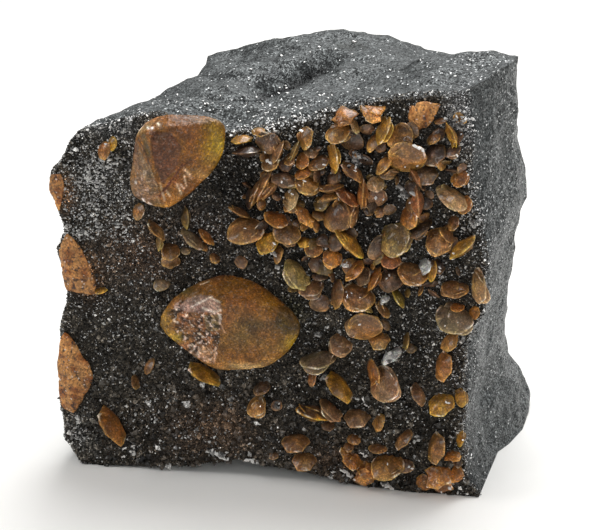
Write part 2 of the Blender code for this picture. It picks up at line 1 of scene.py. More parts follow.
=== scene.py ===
"""The looks of a sturmanite specimen: black manganese ore with brown lens-shaped crystals on its front.

Every piece is a surface worked out with numpy, in millimetres, and turned to metres as its mesh is
made. The ore is a cube's surface stretched between the block's twelve edges. On its front stand a
crust of tiny dark crystals, the small lenses, the two large crystals, the broken ones and some
colourless grains. The front looks towards -Y, +Z is up, and the block rests on Z = 0.
"""
import itertools
import math

import bpy
import numpy as np
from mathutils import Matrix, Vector
from mathutils.bvhtree import BVHTree


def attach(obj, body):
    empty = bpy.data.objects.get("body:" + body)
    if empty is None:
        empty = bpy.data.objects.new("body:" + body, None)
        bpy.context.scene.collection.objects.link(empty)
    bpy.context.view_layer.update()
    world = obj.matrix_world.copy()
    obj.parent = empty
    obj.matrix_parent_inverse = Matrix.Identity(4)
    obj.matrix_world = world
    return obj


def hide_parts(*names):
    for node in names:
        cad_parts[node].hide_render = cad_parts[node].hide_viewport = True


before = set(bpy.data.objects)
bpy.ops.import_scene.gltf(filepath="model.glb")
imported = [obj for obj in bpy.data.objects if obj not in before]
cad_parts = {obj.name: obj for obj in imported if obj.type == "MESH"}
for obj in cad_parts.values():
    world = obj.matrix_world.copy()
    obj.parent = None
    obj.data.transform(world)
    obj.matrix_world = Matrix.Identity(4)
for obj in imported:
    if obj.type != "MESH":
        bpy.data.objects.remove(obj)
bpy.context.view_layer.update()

# Driving dimensions, in millimetres
MM = 0.001
FRONT_Y = -13.4                     # the front face at the foot of the block
FRONT_LEAN = 0.07                   # it leans back by this much for each mm of height
ORE_CELLS = (132, 94, 124)          # faces of the ore across, deep and high, each about 0.4 mm
CRYSTAL_SPREAD = 1.04               # a small crystal is this much wider than what shows of it
CRYSTAL_FLATNESS = 0.34             # half thickness of a small crystal over its radius
CRYSTAL_PROUD = (0.3, 0.6)          # how far its middle stands out, over its radius: lying flat, and on edge
SIGHT = (0.17, -1.0, 0.37)          # the way in which a crystal's place moves as it stands further out
SIGHT_START = 12.0                  # lines of sight are followed from this far out of the front face

# The block's edges

FOOT_LEFT_FRONT = (-25.0, FRONT_Y, 0.3)
FOOT_RIGHT_FRONT = (23.4, FRONT_Y, 0.0)
FOOT_LEFT_BACK = (-20.0, 13.0, 0.0)
FOOT_RIGHT_BACK = (27.6, 13.5, 0.0)
TOP_LEFT_FRONT = (-24.4, -10.5, 41.7)
TOP_RIGHT_FRONT = (19.9, -10.0, 48.2)
TOP_LEFT_BACK = (-14.0, 12.0, 44.8)
TOP_RIGHT_BACK = (23.5, 12.0, 46.0)


def front_y(z):
    """Where the front face lies at a height."""
    return FRONT_Y + FRONT_LEAN * z


def on_front(places):
    """Places of the front face, as points: each is x and z, and may have a height over the face."""
    return [(x, front_y(z) - sum(height), z) for x, z, *height in places]


# The twelve edges, by the ends of the other two directions that they lie at
ALONG_X = {
    (0, 0): [FOOT_LEFT_FRONT, *on_front([
        (-22.8, 0.0), (-16.0, 0.4), (-12.2, 0.9), (-9.1, 1.6), (-5.3, 2.3), (-1.9, 1.8), (4.2, 1.1),
        (8.3, 0.3), (12.9, 0.0), (17.5, 0.0)]), FOOT_RIGHT_FRONT],
    (0, 1): [TOP_LEFT_FRONT, *on_front([
        (-20.5, 42.8), (-18.2, 43.4), (-15.5, 44.0), (-11.0, 43.2), (-6.6, 42.2), (-3.9, 42.6), (-0.5, 43.5),
        (2.2, 44.1), (5.2, 45.5), (9.0, 46.4), (13.4, 47.4), (17.6, 47.8)]), TOP_RIGHT_FRONT],
    (1, 0): [FOOT_LEFT_BACK, (-12.0, 15.0, 0.0), (0.0, 16.0, 0.0), (12.0, 15.8, 0.0), (22.0, 14.8, 0.0),
             FOOT_RIGHT_BACK],
    (1, 1): [TOP_LEFT_BACK, (-11.4, 12.5, 45.5), (-9.5, 12.8, 46.0), (-6.6, 12.5, 47.0), (-3.8, 13.0, 47.5),
             (-0.6, 14.1, 48.0), (1.7, 14.9, 48.0), (5.3, 16.0, 47.5), (8.1, 16.2, 47.2), (10.2, 15.4, 47.0),
             (12.3, 13.9, 46.5), (18.0, 13.0, 46.0), TOP_RIGHT_BACK],
}
ALONG_Y = {
    (0, 0): [FOOT_LEFT_FRONT, (-24.6, -6.0, 0.0), (-22.8, 4.0, 0.0), FOOT_LEFT_BACK],
    (1, 0): [FOOT_RIGHT_FRONT, (24.7, -1.6, 0.0), (25.9, 0.8, 0.0), (27.3, 5.2, 0.0), (27.7, 10.0, 0.0),
             FOOT_RIGHT_BACK],
    (0, 1): [TOP_LEFT_FRONT, (-23.2, -7.0, 42.0), (-20.4, -3.9, 42.4), (-18.1, -0.3, 42.8),
             (-16.9, 2.7, 43.2), (-15.5, 4.8, 43.4), (-14.1, 6.9, 43.5), TOP_LEFT_BACK],
    (1, 1): [TOP_RIGHT_FRONT, (22.6, -5.5, 49.3), (24.9, -0.5, 50.0), (24.6, 6.0, 48.3), TOP_RIGHT_BACK],
}
ALONG_Z = {
    (0, 0): [FOOT_LEFT_FRONT, *on_front([
        (-26.8, 2.9), (-27.2, 5.4), (-27.3, 10.3), (-27.3, 13.8), (-26.9, 16.7), (-26.3, 22.0), (-26.7, 24.9),
        (-27.3, 27.2), (-26.5, 29.5), (-27.0, 31.5), (-27.7, 34.2), (-27.9, 36.0), (-26.8, 37.4)]),
        TOP_LEFT_FRONT],
    (1, 0): [FOOT_RIGHT_FRONT, *on_front([
        (21.7, 1.8), (21.6, 4.7), (21.2, 8.4), (21.3, 12.3), (20.9, 16.1), (21.0, 19.3), (22.6, 22.2),
        (22.9, 25.5), (22.8, 28.3), (22.7, 31.0), (21.5, 34.5), (20.7, 38.4), (20.6, 41.5), (20.0, 45.8)]),
        TOP_RIGHT_FRONT],
    (0, 1): [FOOT_LEFT_BACK, (-19.2, 13.8, 10.0), (-17.8, 14.2, 22.0), (-16.2, 13.4, 34.0), TOP_LEFT_BACK],
    (1, 1): [FOOT_RIGHT_BACK, (27.5, 13.6, 1.7), (26.3, 13.2, 4.3), (24.6, 13.0, 6.8), (23.9, 13.0, 10.0),
             (24.0, 13.0, 17.0), (23.7, 13.0, 24.0), (23.8, 13.0, 26.5), (25.0, 13.0, 29.5),
             (24.9, 12.8, 33.0), (23.9, 12.5, 36.5), (23.8, 12.3, 42.0), TOP_RIGHT_BACK],
}


def along(points, t):
    """The point at share t of the length of a line through the given points."""
    line = np.array(points, float)
    steps = np.linalg.norm(np.diff(line, axis=0), axis=1)
    reached = np.concatenate([[0.0], np.cumsum(steps)]) / steps.sum()
    return np.stack([np.interp(t, reached, line[:, k]) for k in range(3)], axis=1)


def stretched(uvw):
    """Cube points (0 to 1) moved so that the cube's edges lie on the block's edges.

    Each point is the mean of the edges along X, Y and Z, weighted by how near it is to them, less
    twice the corners weighted in the same way. On a face that is the Coons patch of its four edges.
    """
    u, v, w = uvw.T
    near = {"u": (1 - u, u), "v": (1 - v, v), "w": (1 - w, w)}
    place = np.zeros_like(uvw)
    for (j, k), line in ALONG_X.items():
        place += along(line, u) * (near["v"][j] * near["w"][k])[:, None]
    for (i, k), line in ALONG_Y.items():
        place += along(line, v) * (near["u"][i] * near["w"][k])[:, None]
    for (i, j), line in ALONG_Z.items():
        place += along(line, w) * (near["u"][i] * near["v"][j])[:, None]
    for (j, k), line in ALONG_X.items():
        for i, corner in ((0, line[0]), (1, line[-1])):
            share = near["u"][i] * near["v"][j] * near["w"][k]
            place -= 2.0 * share[:, None] * np.array(corner, float)
    return place


def lumps(points, size, seed):
    """Smooth random lumps from -1 to 1, one about every size millimetres."""
    lattice = np.random.default_rng(seed).uniform(-1.0, 1.0, (32, 32, 32))
    cell = np.floor(points / size).astype(int)
    t = points / size - cell
    t = t * t * (3.0 - 2.0 * t)
    total = np.zeros(len(points))
    for corner in np.ndindex(2, 2, 2):
        share = np.prod(np.where(corner, t, 1.0 - t), axis=1)
        index = (cell + corner) % 32
        total += share * lattice[index[:, 0], index[:, 1], index[:, 2]]
    return total


# Hollows (inwards) and swellings (outwards) of the front face: x, z, half width, half height, depth
FRONT_HOLLOWS = [
    (-6.2, 36.2, 3.2, 3.4, 2.0), (14.8, 20.0, 1.8, 6.5, 1.1), (2.6, 19.4, 2.4, 3.8, 1.0),
    (-3.0, 11.6, 4.5, 2.4, 0.8), (-17.5, 17.5, 5.0, 4.0, 0.7), (-9.5, 6.5, 6.5, 3.0, 0.6),
    (16.4, 4.5, 1.6, 3.5, 0.9), (19.5, 8.6, 1.8, 1.6, 0.7), (8.0, 14.6, 2.6, 1.6, 0.8),
    (-22.0, 27.0, 3.0, 5.0, 0.6),
    (5.0, 33.5, 10.0, 8.0, -0.8), (-17.5, 24.0, 5.0, 3.0, -0.5), (10.0, 25.5, 5.0, 4.0, -0.5),
    (-14.0, 3.5, 5.0, 3.0, -0.5)]
# The dark groove across the top, as a line from near the front to the back, and its size
GROOVE = [(-4.2, -0.4), (-1.0, 2.6), (1.4, 5.6)]
GROOVE_DEPTH = 2.4
GROOVE_HALF_WIDTH = 2.0
# Lumps of each face: height, size and random seed
FRONT_LUMPS = [(0.45, 4.2, 11)]
BROKEN_LUMPS = [(1.1, 9.0, 23), (0.5, 4.0, 29)]
RIGHT_LUMPS = [(0.45, 7.0, 31), (0.2, 3.0, 37)]
TOP_LUMPS = [(0.9, 7.5, 41), (0.35, 3.5, 43)]
SHIFTS = [(0.22, 2.6, 50), (0.22, 2.6, 51), (0.22, 2.6, 52)]    # of every point, along X, Y and Z
BACK_OUT = 0.4                      # the back stands this much proud of its edges
EDGE_FADE = 0.07                    # share of a face over which its relief grows in from its edges
ARCH_DEPTH = 0.2                    # share of the foot, from the front, that is arched up off Z = 0
LOWEST = 0.05                       # nothing beside the foot's own flat comes lower than this
AT_END = 1e-6                       # a number of a cube point this near to 0 or 1 lies on a face


def relief(points, layers):
    """The sum of some lumps, each given as height, size and seed."""
    return sum(height * lumps(points, size, seed) for height, size, seed in layers)


def bump(x, z, half_width, half_height, px, pz):
    """A round swelling of height 1: a bell curve in both directions."""
    return np.exp(-((px - x) / half_width) ** 2 - ((pz - z) / half_height) ** 2)


def line_distance(a, b, x, z):
    """How far points of a plane are from the line between two of its places."""
    run = np.subtract(b, a)
    t = np.clip(((x - a[0]) * run[0] + (z - a[1]) * run[1]) / (run @ run), 0, 1)
    return np.hypot(x - a[0] - t * run[0], z - a[1] - t * run[1])


def at_ends(t):
    """Which points lie at 0 and which at 1, by one number of the cube."""
    return t < AT_END, t > 1 - AT_END


def roughened(uvw, place):
    """The stretched block with its hollows, swellings, groove and broken faces.

    A point moves straight out of the face that it lies on, less and less towards the edges, and
    every point above the foot is then shifted a little by a second set of lumps.
    """
    u, v, w = uvw.T
    x, y, z = place.T
    (left, right), (front, back), (foot, top) = at_ends(u), at_ends(v), at_ends(w)
    inside = np.clip(np.minimum(uvw, 1 - uvw) / EDGE_FADE, 0, 1).T
    out = place.copy()

    fade = np.minimum(inside[0], inside[2])
    grown = relief(place, FRONT_LUMPS)
    for cx, cz, half_width, half_height, depth in FRONT_HOLLOWS:
        grown -= depth * bump(cx, cz, half_width, half_height, x, z)
    out[:, 1] -= np.where(front, grown * fade, 0.0)
    broken = relief(place, BROKEN_LUMPS)
    out[:, 1] += np.where(back, (broken + BACK_OUT) * fade, 0.0)

    fade = np.minimum(inside[1], inside[2])
    out[:, 0] -= np.where(left, broken * fade, 0.0)
    out[:, 0] += np.where(right, relief(place, RIGHT_LUMPS) * fade, 0.0)

    fade = np.minimum(inside[0], inside[1])
    away = np.min([line_distance(a, b, x, y) for a, b in zip(GROOVE, GROOVE[1:])], axis=0)
    groove = GROOVE_DEPTH * np.exp(-(away / GROOVE_HALF_WIDTH) ** 2)
    out[:, 2] += np.where(top, (relief(place, TOP_LUMPS) - groove) * fade, 0.0)

    shift = np.stack([relief(place, [layer]) for layer in SHIFTS], axis=1)
    out += np.where(foot[:, None], 0.0, shift)
    arch = np.clip(z, 0, None) * np.clip(1 - v / ARCH_DEPTH, 0, 1)
    out[:, 2] = np.where(foot, arch, np.maximum(out[:, 2], LOWEST))
    return out


# Fine relief of the broken ore, laid over the block's own: height, size and seed of each set of lumps
FRACTURE = [(0.16, 1.5, 61), (0.10, 0.8, 62)]
# The steps that the top breaks along: their height, size and seed
LEDGE_HEIGHT = 0.34
LEDGE_SIZE = 1.9
LEDGE_SEED = 67
LEDGE_SHAPE = (0.4, 1.0, 1.0)       # their lumps are drawn out along X
LEDGE_MIDDLE = 0.35                 # the mean of the lumps without their sign


def ore_place(uvw):
    """Points of the ore's fine surface from points of the cube.

    The block's own place, shifted in each direction by small lumps; the top also breaks in long low
    ledges, the size of a set of lumps drawn out along X and creased where they pass zero.
    """
    place = roughened(uvw, stretched(uvw))
    foot, top = at_ends(uvw[:, 2])
    shift = np.stack([relief(place, [(height, size, seed + 10 * k) for height, size, seed in FRACTURE])
                      for k in range(3)], axis=1)
    ledges = LEDGE_HEIGHT * (np.abs(lumps(place * LEDGE_SHAPE, LEDGE_SIZE, LEDGE_SEED)) - LEDGE_MIDDLE)
    inside = np.clip(np.minimum(uvw, 1 - uvw)[:, :2].min(axis=1) / EDGE_FADE, 0, 1)
    shift[:, 2] += np.where(top, ledges * inside, 0.0)
    place = place + np.where(foot[:, None], 0.0, shift)
    place[:, 2] = np.where(foot, place[:, 2], np.maximum(place[:, 2], LOWEST))
    return place


def box_grid(cells):
    """The surface of a cube (0 to 1) as one closed grid: its points, and the four corners of each face.

    A point is a place of the lattice that has at least one of its three numbers at an end, over the
    number of cells. Points that two sides share are one.
    """
    cells = np.array(cells)
    quads = []
    for axis in range(3):
        first, second = (axis + 1) % 3, (axis + 2) % 3
        a, b = np.meshgrid(np.arange(cells[first]), np.arange(cells[second]), indexing="ij")
        ring = ((0, 0), (1, 0), (1, 1), (0, 1))
        for side, around in ((0, ring[::-1]), (cells[axis], ring)):
            corners = np.full((a.size, 4, 3), side)
            for n, (da, db) in enumerate(around):
                corners[:, n, first] = a.ravel() + da
                corners[:, n, second] = b.ravel() + db
            quads.append(corners)
    corners = np.concatenate(quads).reshape(-1, 3)
    key = (corners[:, 0] * (cells[1] + 1) + corners[:, 1]) * (cells[2] + 1) + corners[:, 2]
    seen, index = np.unique(key, return_index=True, return_inverse=True)[1:]
    return corners[seen] / cells, index.reshape(-1, 4)


def linear(colour):
    """An sRGB hex colour, such as "#806144", as linear red, green and blue."""
    srgb = np.array([int(colour[k:k + 2], 16) / 255.0 for k in (1, 3, 5)])
    return np.where(srgb <= 0.04045, srgb / 12.92, ((srgb + 0.055) / 1.055) ** 2.4)


def new_piece(name, points, faces, material, tint, smooth=False, replaces=(), coarse=None):
    """One object of the specimen from points in mm and rows of corner numbers.

    tint gives each point a linear red, green, blue and, as a fourth value, how clear a crystal is there
    or what share of the ore's grains is white. coarse gives each point how rough and glittering it is
    there, from 0 to 1.
    """
    data = bpy.data.meshes.new(name)
    data.from_pydata((points * MM).tolist(), [], faces)
    data.polygons.foreach_set("use_smooth", np.full(len(data.polygons), smooth))
    layer = data.attributes.new("tint", "FLOAT_COLOR", "POINT")
    layer.data.foreach_set("color", np.asarray(tint, np.float32).ravel())
    if coarse is not None:
        layer = data.attributes.new("coarse", "FLOAT", "POINT")
        layer.data.foreach_set("value", np.asarray(coarse, np.float32))
    data.materials.append(material)
    data.update()
    obj = bpy.data.objects.new(name, data)
    bpy.context.scene.collection.objects.link(obj)
    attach(obj, "root")
    if replaces:
        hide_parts(*replaces)


# Colours over a surface

def plain_tint(colour, count):
    """One hex colour for every point."""
    return np.tile(linear(colour), (count, 1))


def covered(tint, colour, cover):
    """A tint turned towards a hex colour, by each point's own share."""
    return tint + cover[:, None] * (linear(colour) - tint)


def patched(tint, patches, x, z):
    """A tint with soft round patches laid over it: each patch is x, z, half width, half height, colour
    and strength, and covers by its strength times a bell curve in both directions."""
    for px, pz, half_width, half_height, colour, strength in patches:
        tint = covered(tint, colour, strength * bump(px, pz, half_width, half_height, x, z))
    return tint


def streaked(tint, streaks, x, z):
    """A tint with soft lines laid over it: each line is its two ends' x and z, half width, colour and
    strength, and covers by its strength times a bell curve of the distance to the line."""
    for ax, az, bx, bz, half_width, colour, strength in streaks:
        away = line_distance((ax, az), (bx, bz), x, z)
        tint = covered(tint, colour, strength * np.exp(-(away / half_width) ** 2))
    return tint


def as_seen(place):
    """The x and z at which the lines of sight through some points meet the front face's plane."""
    out = (front_y(place[:, 2]) - place[:, 1]) / (1 + FRONT_LEAN * SIGHT[2])
    return place[:, 0] - SIGHT[0] * out, place[:, 2] - SIGHT[2] * out


def within(corners, soft, x, z):
    """1 inside a convex outline of (x, z) corners taken clockwise, 0 outside, with a soft edge."""
    line = np.array(corners, float)
    deepest = np.full(len(x), np.inf)
    for a, b in zip(line, np.roll(line, -1, axis=0)):
        run = (b - a) / np.linalg.norm(b - a)
        deepest = np.minimum(deepest, (x - a[0]) * run[1] - (z - a[1]) * run[0])
    t = np.clip(deepest / soft + 0.5, 0, 1)
    return t * t * (3 - 2 * t)


# Shapes of crystals

LENS_POWER = 1.8                    # a lens falls off towards its rim as this power of the radius


def lens_template(sides, rings):
    """A lens of radius 1 round Z: each point's share of the radius, height and direction, and its
    triangles and quads. A side rises towards the middle as 1 less a power of the share."""
    share = np.array([0.0] + sorted(rings) + sorted(rings, reverse=True)[1:] + [0.0])
    side = np.where(np.arange(len(share)) <= len(rings), 1.0, -1.0)
    height = side * (1 - share ** LENS_POWER)
    turn = 2 * np.pi * np.arange(sides) / sides
    inner = np.stack([np.repeat(share[1:-1], sides), np.repeat(height[1:-1], sides),
                      np.tile(turn, len(share) - 2)], axis=1)
    points = np.concatenate([[(0.0, 1.0, 0.0)], inner, [(0.0, -1.0, 0.0)]])
    around, ahead = np.arange(sides), (np.arange(sides) + 1) % sides
    low = 1 + sides * np.arange(len(share) - 3)[:, None]
    quads = np.stack([low + around, low + sides + around, low + sides + ahead, low + ahead], axis=2)
    last = 1 + (len(share) - 3) * sides
    top = np.stack([0 * around, 1 + around, 1 + ahead], axis=1)
    bottom = np.stack([last + around, 0 * around + len(points) - 1, last + ahead], axis=1)
    return points.T, np.concatenate([top, bottom]), quads.reshape(-1, 4)


def leaned(lean, turn):
    """A 3 by 3 turn that takes Z to the crystal's own axis: lean degrees from straight out of the front
    face, towards the direction turn degrees round from +X as seen from the front."""
    across = Vector((1.0, 0.0, 0.0))
    upwards = Vector((0.0, FRONT_LEAN, 1.0)).normalized()
    outwards = Vector((0.0, -1.0, FRONT_LEAN)).normalized()
    tilt, way = math.radians(lean), math.radians(turn)
    axis = outwards * math.cos(tilt) + (across * math.cos(way) + upwards * math.sin(way)) * math.sin(tilt)
    return np.array(axis.to_track_quat("Z", "Y").to_matrix())


def on_face(tree, x, z, proud, reach=26.0):
    """The point that stands proud mm out from the surface, on the line of sight through (x, z) of the
    front face. None where that line meets nothing within its reach."""
    away = Vector(SIGHT)
    start = Vector((x, front_y(z), z)) + SIGHT_START * away
    hit = tree.ray_cast(start, -away, reach)[0]
    return None if hit is None else np.array(hit) + proud * np.array(away)


def copies(faces, count, step):
    """The faces of count copies of a shape whose points follow each other, step points a copy."""
    return (faces[None] + step * np.arange(count)[:, None, None]).reshape(-1, faces.shape[1]).tolist()


# Points and faces of every crystal made so far, for grains to stand on
GROWN = []

# Finishes of the small crystals: colour of the body, of the thin rim, how clear the body is, how broken
# The rim's colour is lighter than the body's: painted glow of light through the thin rim
FINISHES = {
    "brown": ("#74502e", "#c89c5c", 0.12, 0.1),
    "amber": ("#885e2c", "#d8ac64", 0.12, 0.1),
    "orange": ("#965e28", "#dca656", 0.12, 0.1),
    "gold": ("#9a6c22", "#e0b850", 0.12, 0.1),
    "lime": ("#7c6a24", "#dcc04c", 0.12, 0.1),
    "olive": ("#6a5228", "#b8a060", 0.12, 0.1),
    "pale": ("#94804c", "#ccba7c", 0.1, 0.1),
    "tan": ("#987648", "#e0c49a", 0.1, 0.2),
    "rust": ("#905a34", "#d09a68", 0.1, 0.2),
    "rough": ("#96602c", "#c8964e", 0.0, 0.4),
    # Its gold low band is painted light: the rim's bright gold laid on the lower side
    "dark_glowing_below": ("#5c402c", "#f0b038", 0.1, 0.1),
    "pink": ("#765538", "#c09a70", 0.1, 0.1),
    "plum": ("#5c4534", "#a6845c", 0.1, 0.1),
    "grey": ("#6a5a46", "#ac9870", 0.1, 0.1),
    "dark": ("#44332a", "#8c6c46", 0.12, 0.1),
    "clear": ("#e4e2dc", "#ffffff", 0.35, 0.3),
}
# The plates that make up a small crystal: size over its own, tilt in degrees, and shift over its radius
PLATES = [(1.0, 0, 0.0), (0.78, 24, 0.34), (0.6, -34, 0.42)]
PLATE_SIZES = 0.45                  # the plates beside the first are up to this share smaller, by chance
PHASES = 40.0                       # radians that a chance from 0 to 1 is spread over
RIM_WAVER = 0.05                    # of the radius
RIM_START = 0.86                    # share of the radius at which the rim's own colour begins
SPINS = 24                          # the hexagon of a plate stands in one of this many ways round
HEXAGON_SHARE = (0.3, 0.6)          # how far the rim goes from a circle to it: least, and more by chance
UNEVEN_SEED = 71
UNEVEN_SIZE = 1.3                   # lumps to a millimetre, in the sides
UNEVEN_START = 50                   # lattice cells that a chance from 0 to 1 is spread over
UNEVEN_LIFT = 0.25                  # of a side, besides how broken the crystal is
RAGGED_FROM = 0.35                  # a crystal more broken than this has a ragged rim
RAGGED = 0.6
# Share of the rim's own colour in a small crystal: at the rim, painted as the glow of light through the thin
# edge; on its lower side, painted light that leaves it low down; and on lumps
RIM_GLOW_MIX, LOW_GLOW_MIX, LUMP_MIX = 0.8, 0.7, 0.5
# Its brightness: more on lumps, less on its upper side as painted shade, spread of its logarithm,
# and the most there is
LUMP_LIGHT, PLATE_TOP_PAINTED_SHADE, SPECKLE, BRIGHTEST = 0.4, 0.5, 0.2, 0.9
# The white places on the rims are painted glints
RIM_GLINT_WHITE = "#f6eee2"
RIM_GLINT_SHARE = 0.05                   # share of the rim's points that are white
PLATE_SHADES = (0.8, 0.35, 0.08)    # least brightness, more by chance, and less for each further plate


def tilted(angle, way):
    """3 by 3 turns by one angle round the lines in the XY plane that stand square to each way."""
    c, s, x, y = np.full(len(way), np.cos(angle)), np.sin(angle), -np.sin(way), np.cos(way)
    rest = 1 - c
    return np.array([[c + x * x * rest, x * y * rest, y * s], [x * y * rest, c + y * y * rest, -x * s],
                     [-y * s, x * s, c]]).transpose(2, 0, 1)


def first_plates(radius, broken, chance, share, height, turn):
    """The first plate of each crystal, lying flat, and how uneven it is at each point.

    The rim goes from a circle to a hexagon, whose radius is cos 30 over the cosine of the angle to the
    middle of the side, and wavers with two and three times the direction. Both sides are lifted or
    sunk a little with the place, and the rim of a broken crystal is ragged.
    """
    spin = 2 * np.pi / SPINS * np.round(SPINS * chance[0])
    aside = np.remainder(turn - spin, np.pi / 3) - np.pi / 6
    hexagon = np.cos(np.pi / 6) / np.cos(aside)
    waver = sum(RIM_WAVER * np.sin(n * turn + PHASES * chance[n]) for n in (2, 3))
    least, more = HEXAGON_SHARE
    rim = radius * (1 + (least + more * chance[1]) * (hexagon - 1)) * (1 + waver)
    flat = np.stack([rim * share * np.cos(turn), rim * share * np.sin(turn),
                     CRYSTAL_FLATNESS * radius * height], axis=2)
    places = flat * UNEVEN_SIZE + UNEVEN_START * chance[0][..., None]
    uneven = lumps(places.reshape(-1, 3), 1.0, UNEVEN_SEED).reshape(rim.shape)
    flat[..., 2] *= 1 + (UNEVEN_LIFT + broken) * uneven
    flat[..., :2] *= (1 + RAGGED * (broken > RAGGED_FROM) * uneven * share)[..., None]
    return flat, uneven


def plate_tint(body, edge, clear, share, height, up, uneven, shade, rng):
    """Colours of one plate of each crystal, with painted light and shade. It is painted lightest round its
    thin rim, and most of all low down, where light that came in from above would leave it, and painted
    darkest high up in its body. A few places on the rim are white, as painted glints."""
    mix = RIM_GLOW_MIX * np.clip((share - RIM_START) / (1 - RIM_START), 0, 1)
    mix = mix + LOW_GLOW_MIX * np.clip(-up, 0, 1) * share ** 2 + LUMP_MIX * np.clip(uneven - 0.2, 0, 1)
    mix = np.clip(mix, 0, 1)
    shade = shade * (1 + LUMP_LIGHT * uneven) * (1 - PLATE_TOP_PAINTED_SHADE * np.clip(up, 0, 1))
    shade = shade * np.exp(SPECKLE * rng.normal(size=up.shape))
    colour = np.clip((body + mix[..., None] * (edge - body)) * shade[..., None], 0, BRIGHTEST)
    white = (rng.uniform(size=up.shape) < RIM_GLINT_SHARE) & (share > 0.9) & (height >= 0)
    colour[white] = linear(RIM_GLINT_WHITE)
    return np.concatenate([colour, (clear * (1 - 0.6 * mix))[..., None]], axis=2).reshape(-1, 4)


def lenses(tree, rows, template, plates=PLATES):
    """Small crystals from rows of x, z, radius, lean, direction of the lean and finish. Each is the given
    plates grown through each other, and a plate is the template scaled and turned."""
    (share, height, turn), triangles, quads = template
    x, z, shown, lean, way = np.array([row[:5] for row in rows], float).T
    finishes = [FINISHES[row[5]] for row in rows]
    body, edge = (np.array([linear(finish[k]) for finish in finishes])[:, None] for k in (0, 1))
    clear, broken = np.array([finish[2:] for finish in finishes]).T[..., None]
    radius = CRYSTAL_SPREAD * shown[:, None]
    proud = radius[:, 0] * np.interp(np.sin(np.radians(lean)), (0, 1), CRYSTAL_PROUD)
    centre = np.array([on_face(tree, *spot) for spot in zip(x, z, proud)])
    turned = np.array([leaned(*angles) for angles in zip(lean, way)])
    rng = np.random.default_rng(len(rows))
    chance = rng.uniform(size=(4, len(rows), 1))
    least, more, less = PLATE_SHADES
    flat, uneven = first_plates(radius, broken, chance, share, height, turn)
    points, faces, tints = [], [], []
    for number, (size, tilt, shift) in enumerate(plates):
        grown = (PHASES * chance[1])[:, 0] + 2 * number
        moved = shift * radius * np.stack([np.cos(grown), np.sin(grown), 0 * grown], axis=1)
        own = flat * (size * (1 - PLATE_SIZES * (number > 0) * chance[3]))[..., None]
        own = np.einsum("nij,nkj->nki", tilted(math.radians(tilt), grown), own) + moved[:, None]
        place = np.einsum("nij,nkj->nki", turned, own)
        points.append((place + centre[:, None]).reshape(-1, 3))
        shade = least + more * chance[2] - less * number
        tints.append(plate_tint(body, edge, clear, share, height, place[..., 2] / radius, uneven, shade, rng))
        for kind in (triangles, quads):
            faces += copies(kind + number * len(points[0]), *uneven.shape)
    points = np.concatenate(points)
    GROWN.append((points, faces))
    return points, faces, np.concatenate(tints), np.tile((broken + 0 * uneven).ravel(), len(plates))

FLAT_SOLID = (1.0, 0.5, 0.8)        # how far the grid of a solid is drawn out across, in depth and upwards
CRISP_COSINE = 0.93                 # a face is crisp within this cosine of the crisp way


def wrapping_planes(corners):
    """The flat faces that wrap some corners, seen from their middle: every plane through three corners
    that has none in front, as outward directions and distances."""
    triples = np.array(list(itertools.combinations(range(len(corners)), 3)))
    a, b, c = (corners[triples[:, k]] for k in range(3))
    normal = np.cross(b - a, c - a)
    length = np.linalg.norm(normal, axis=1)
    normal, a = normal[length > 1e-6] / length[length > 1e-6, None], a[length > 1e-6]
    distance = np.einsum("ij,ij->i", normal, a)
    normal[distance < 0] *= -1
    distance = np.abs(distance)
    outer = (corners @ normal.T <= distance + 1e-4).all(axis=0)
    normal, distance = normal[outer], distance[outer]
    kept = np.unique(np.round(normal, 2), axis=0, return_index=True)[1]
    return normal[kept], distance[kept]


def soft_solid(corners, cells, sharpness, crisp=None, swell=1.0):
    """The solid that wraps the corners, with rounded edges, as a closed grid.

    In each direction its radius is one over the p-th root of the sum, over its flat faces, of the
    p-th power of direction times face direction over face distance, where that is above zero. The
    higher p, the sharper its edges. That rounded solid is swelled, and the faces that look the crisp
    way, left out of the sum, cut it off flat. Also gives each point's outward direction.
    """
    place = np.array(corners, float)
    middle = place.mean(axis=0)
    normal, distance = wrapping_planes(place - middle)
    cube, faces = box_grid(cells)
    way = np.tan((2 * cube - 1) * np.pi / 4) * FLAT_SOLID
    way /= np.linalg.norm(way, axis=1)[:, None]
    reach = np.clip(way @ normal.T / distance, 1e-9, None)
    flat = np.zeros(len(normal), bool) if crisp is None else normal @ crisp > CRISP_COSINE
    rounded = reach[:, ~flat]
    biggest = rounded.max(axis=1)
    soft = biggest * ((rounded / biggest[:, None]) ** sharpness).sum(axis=1) ** (1 / sharpness)
    radius = 1 / np.maximum(soft / swell, reach[:, flat].max(axis=1, initial=0.0))
    return middle + way * radius[:, None], faces, way


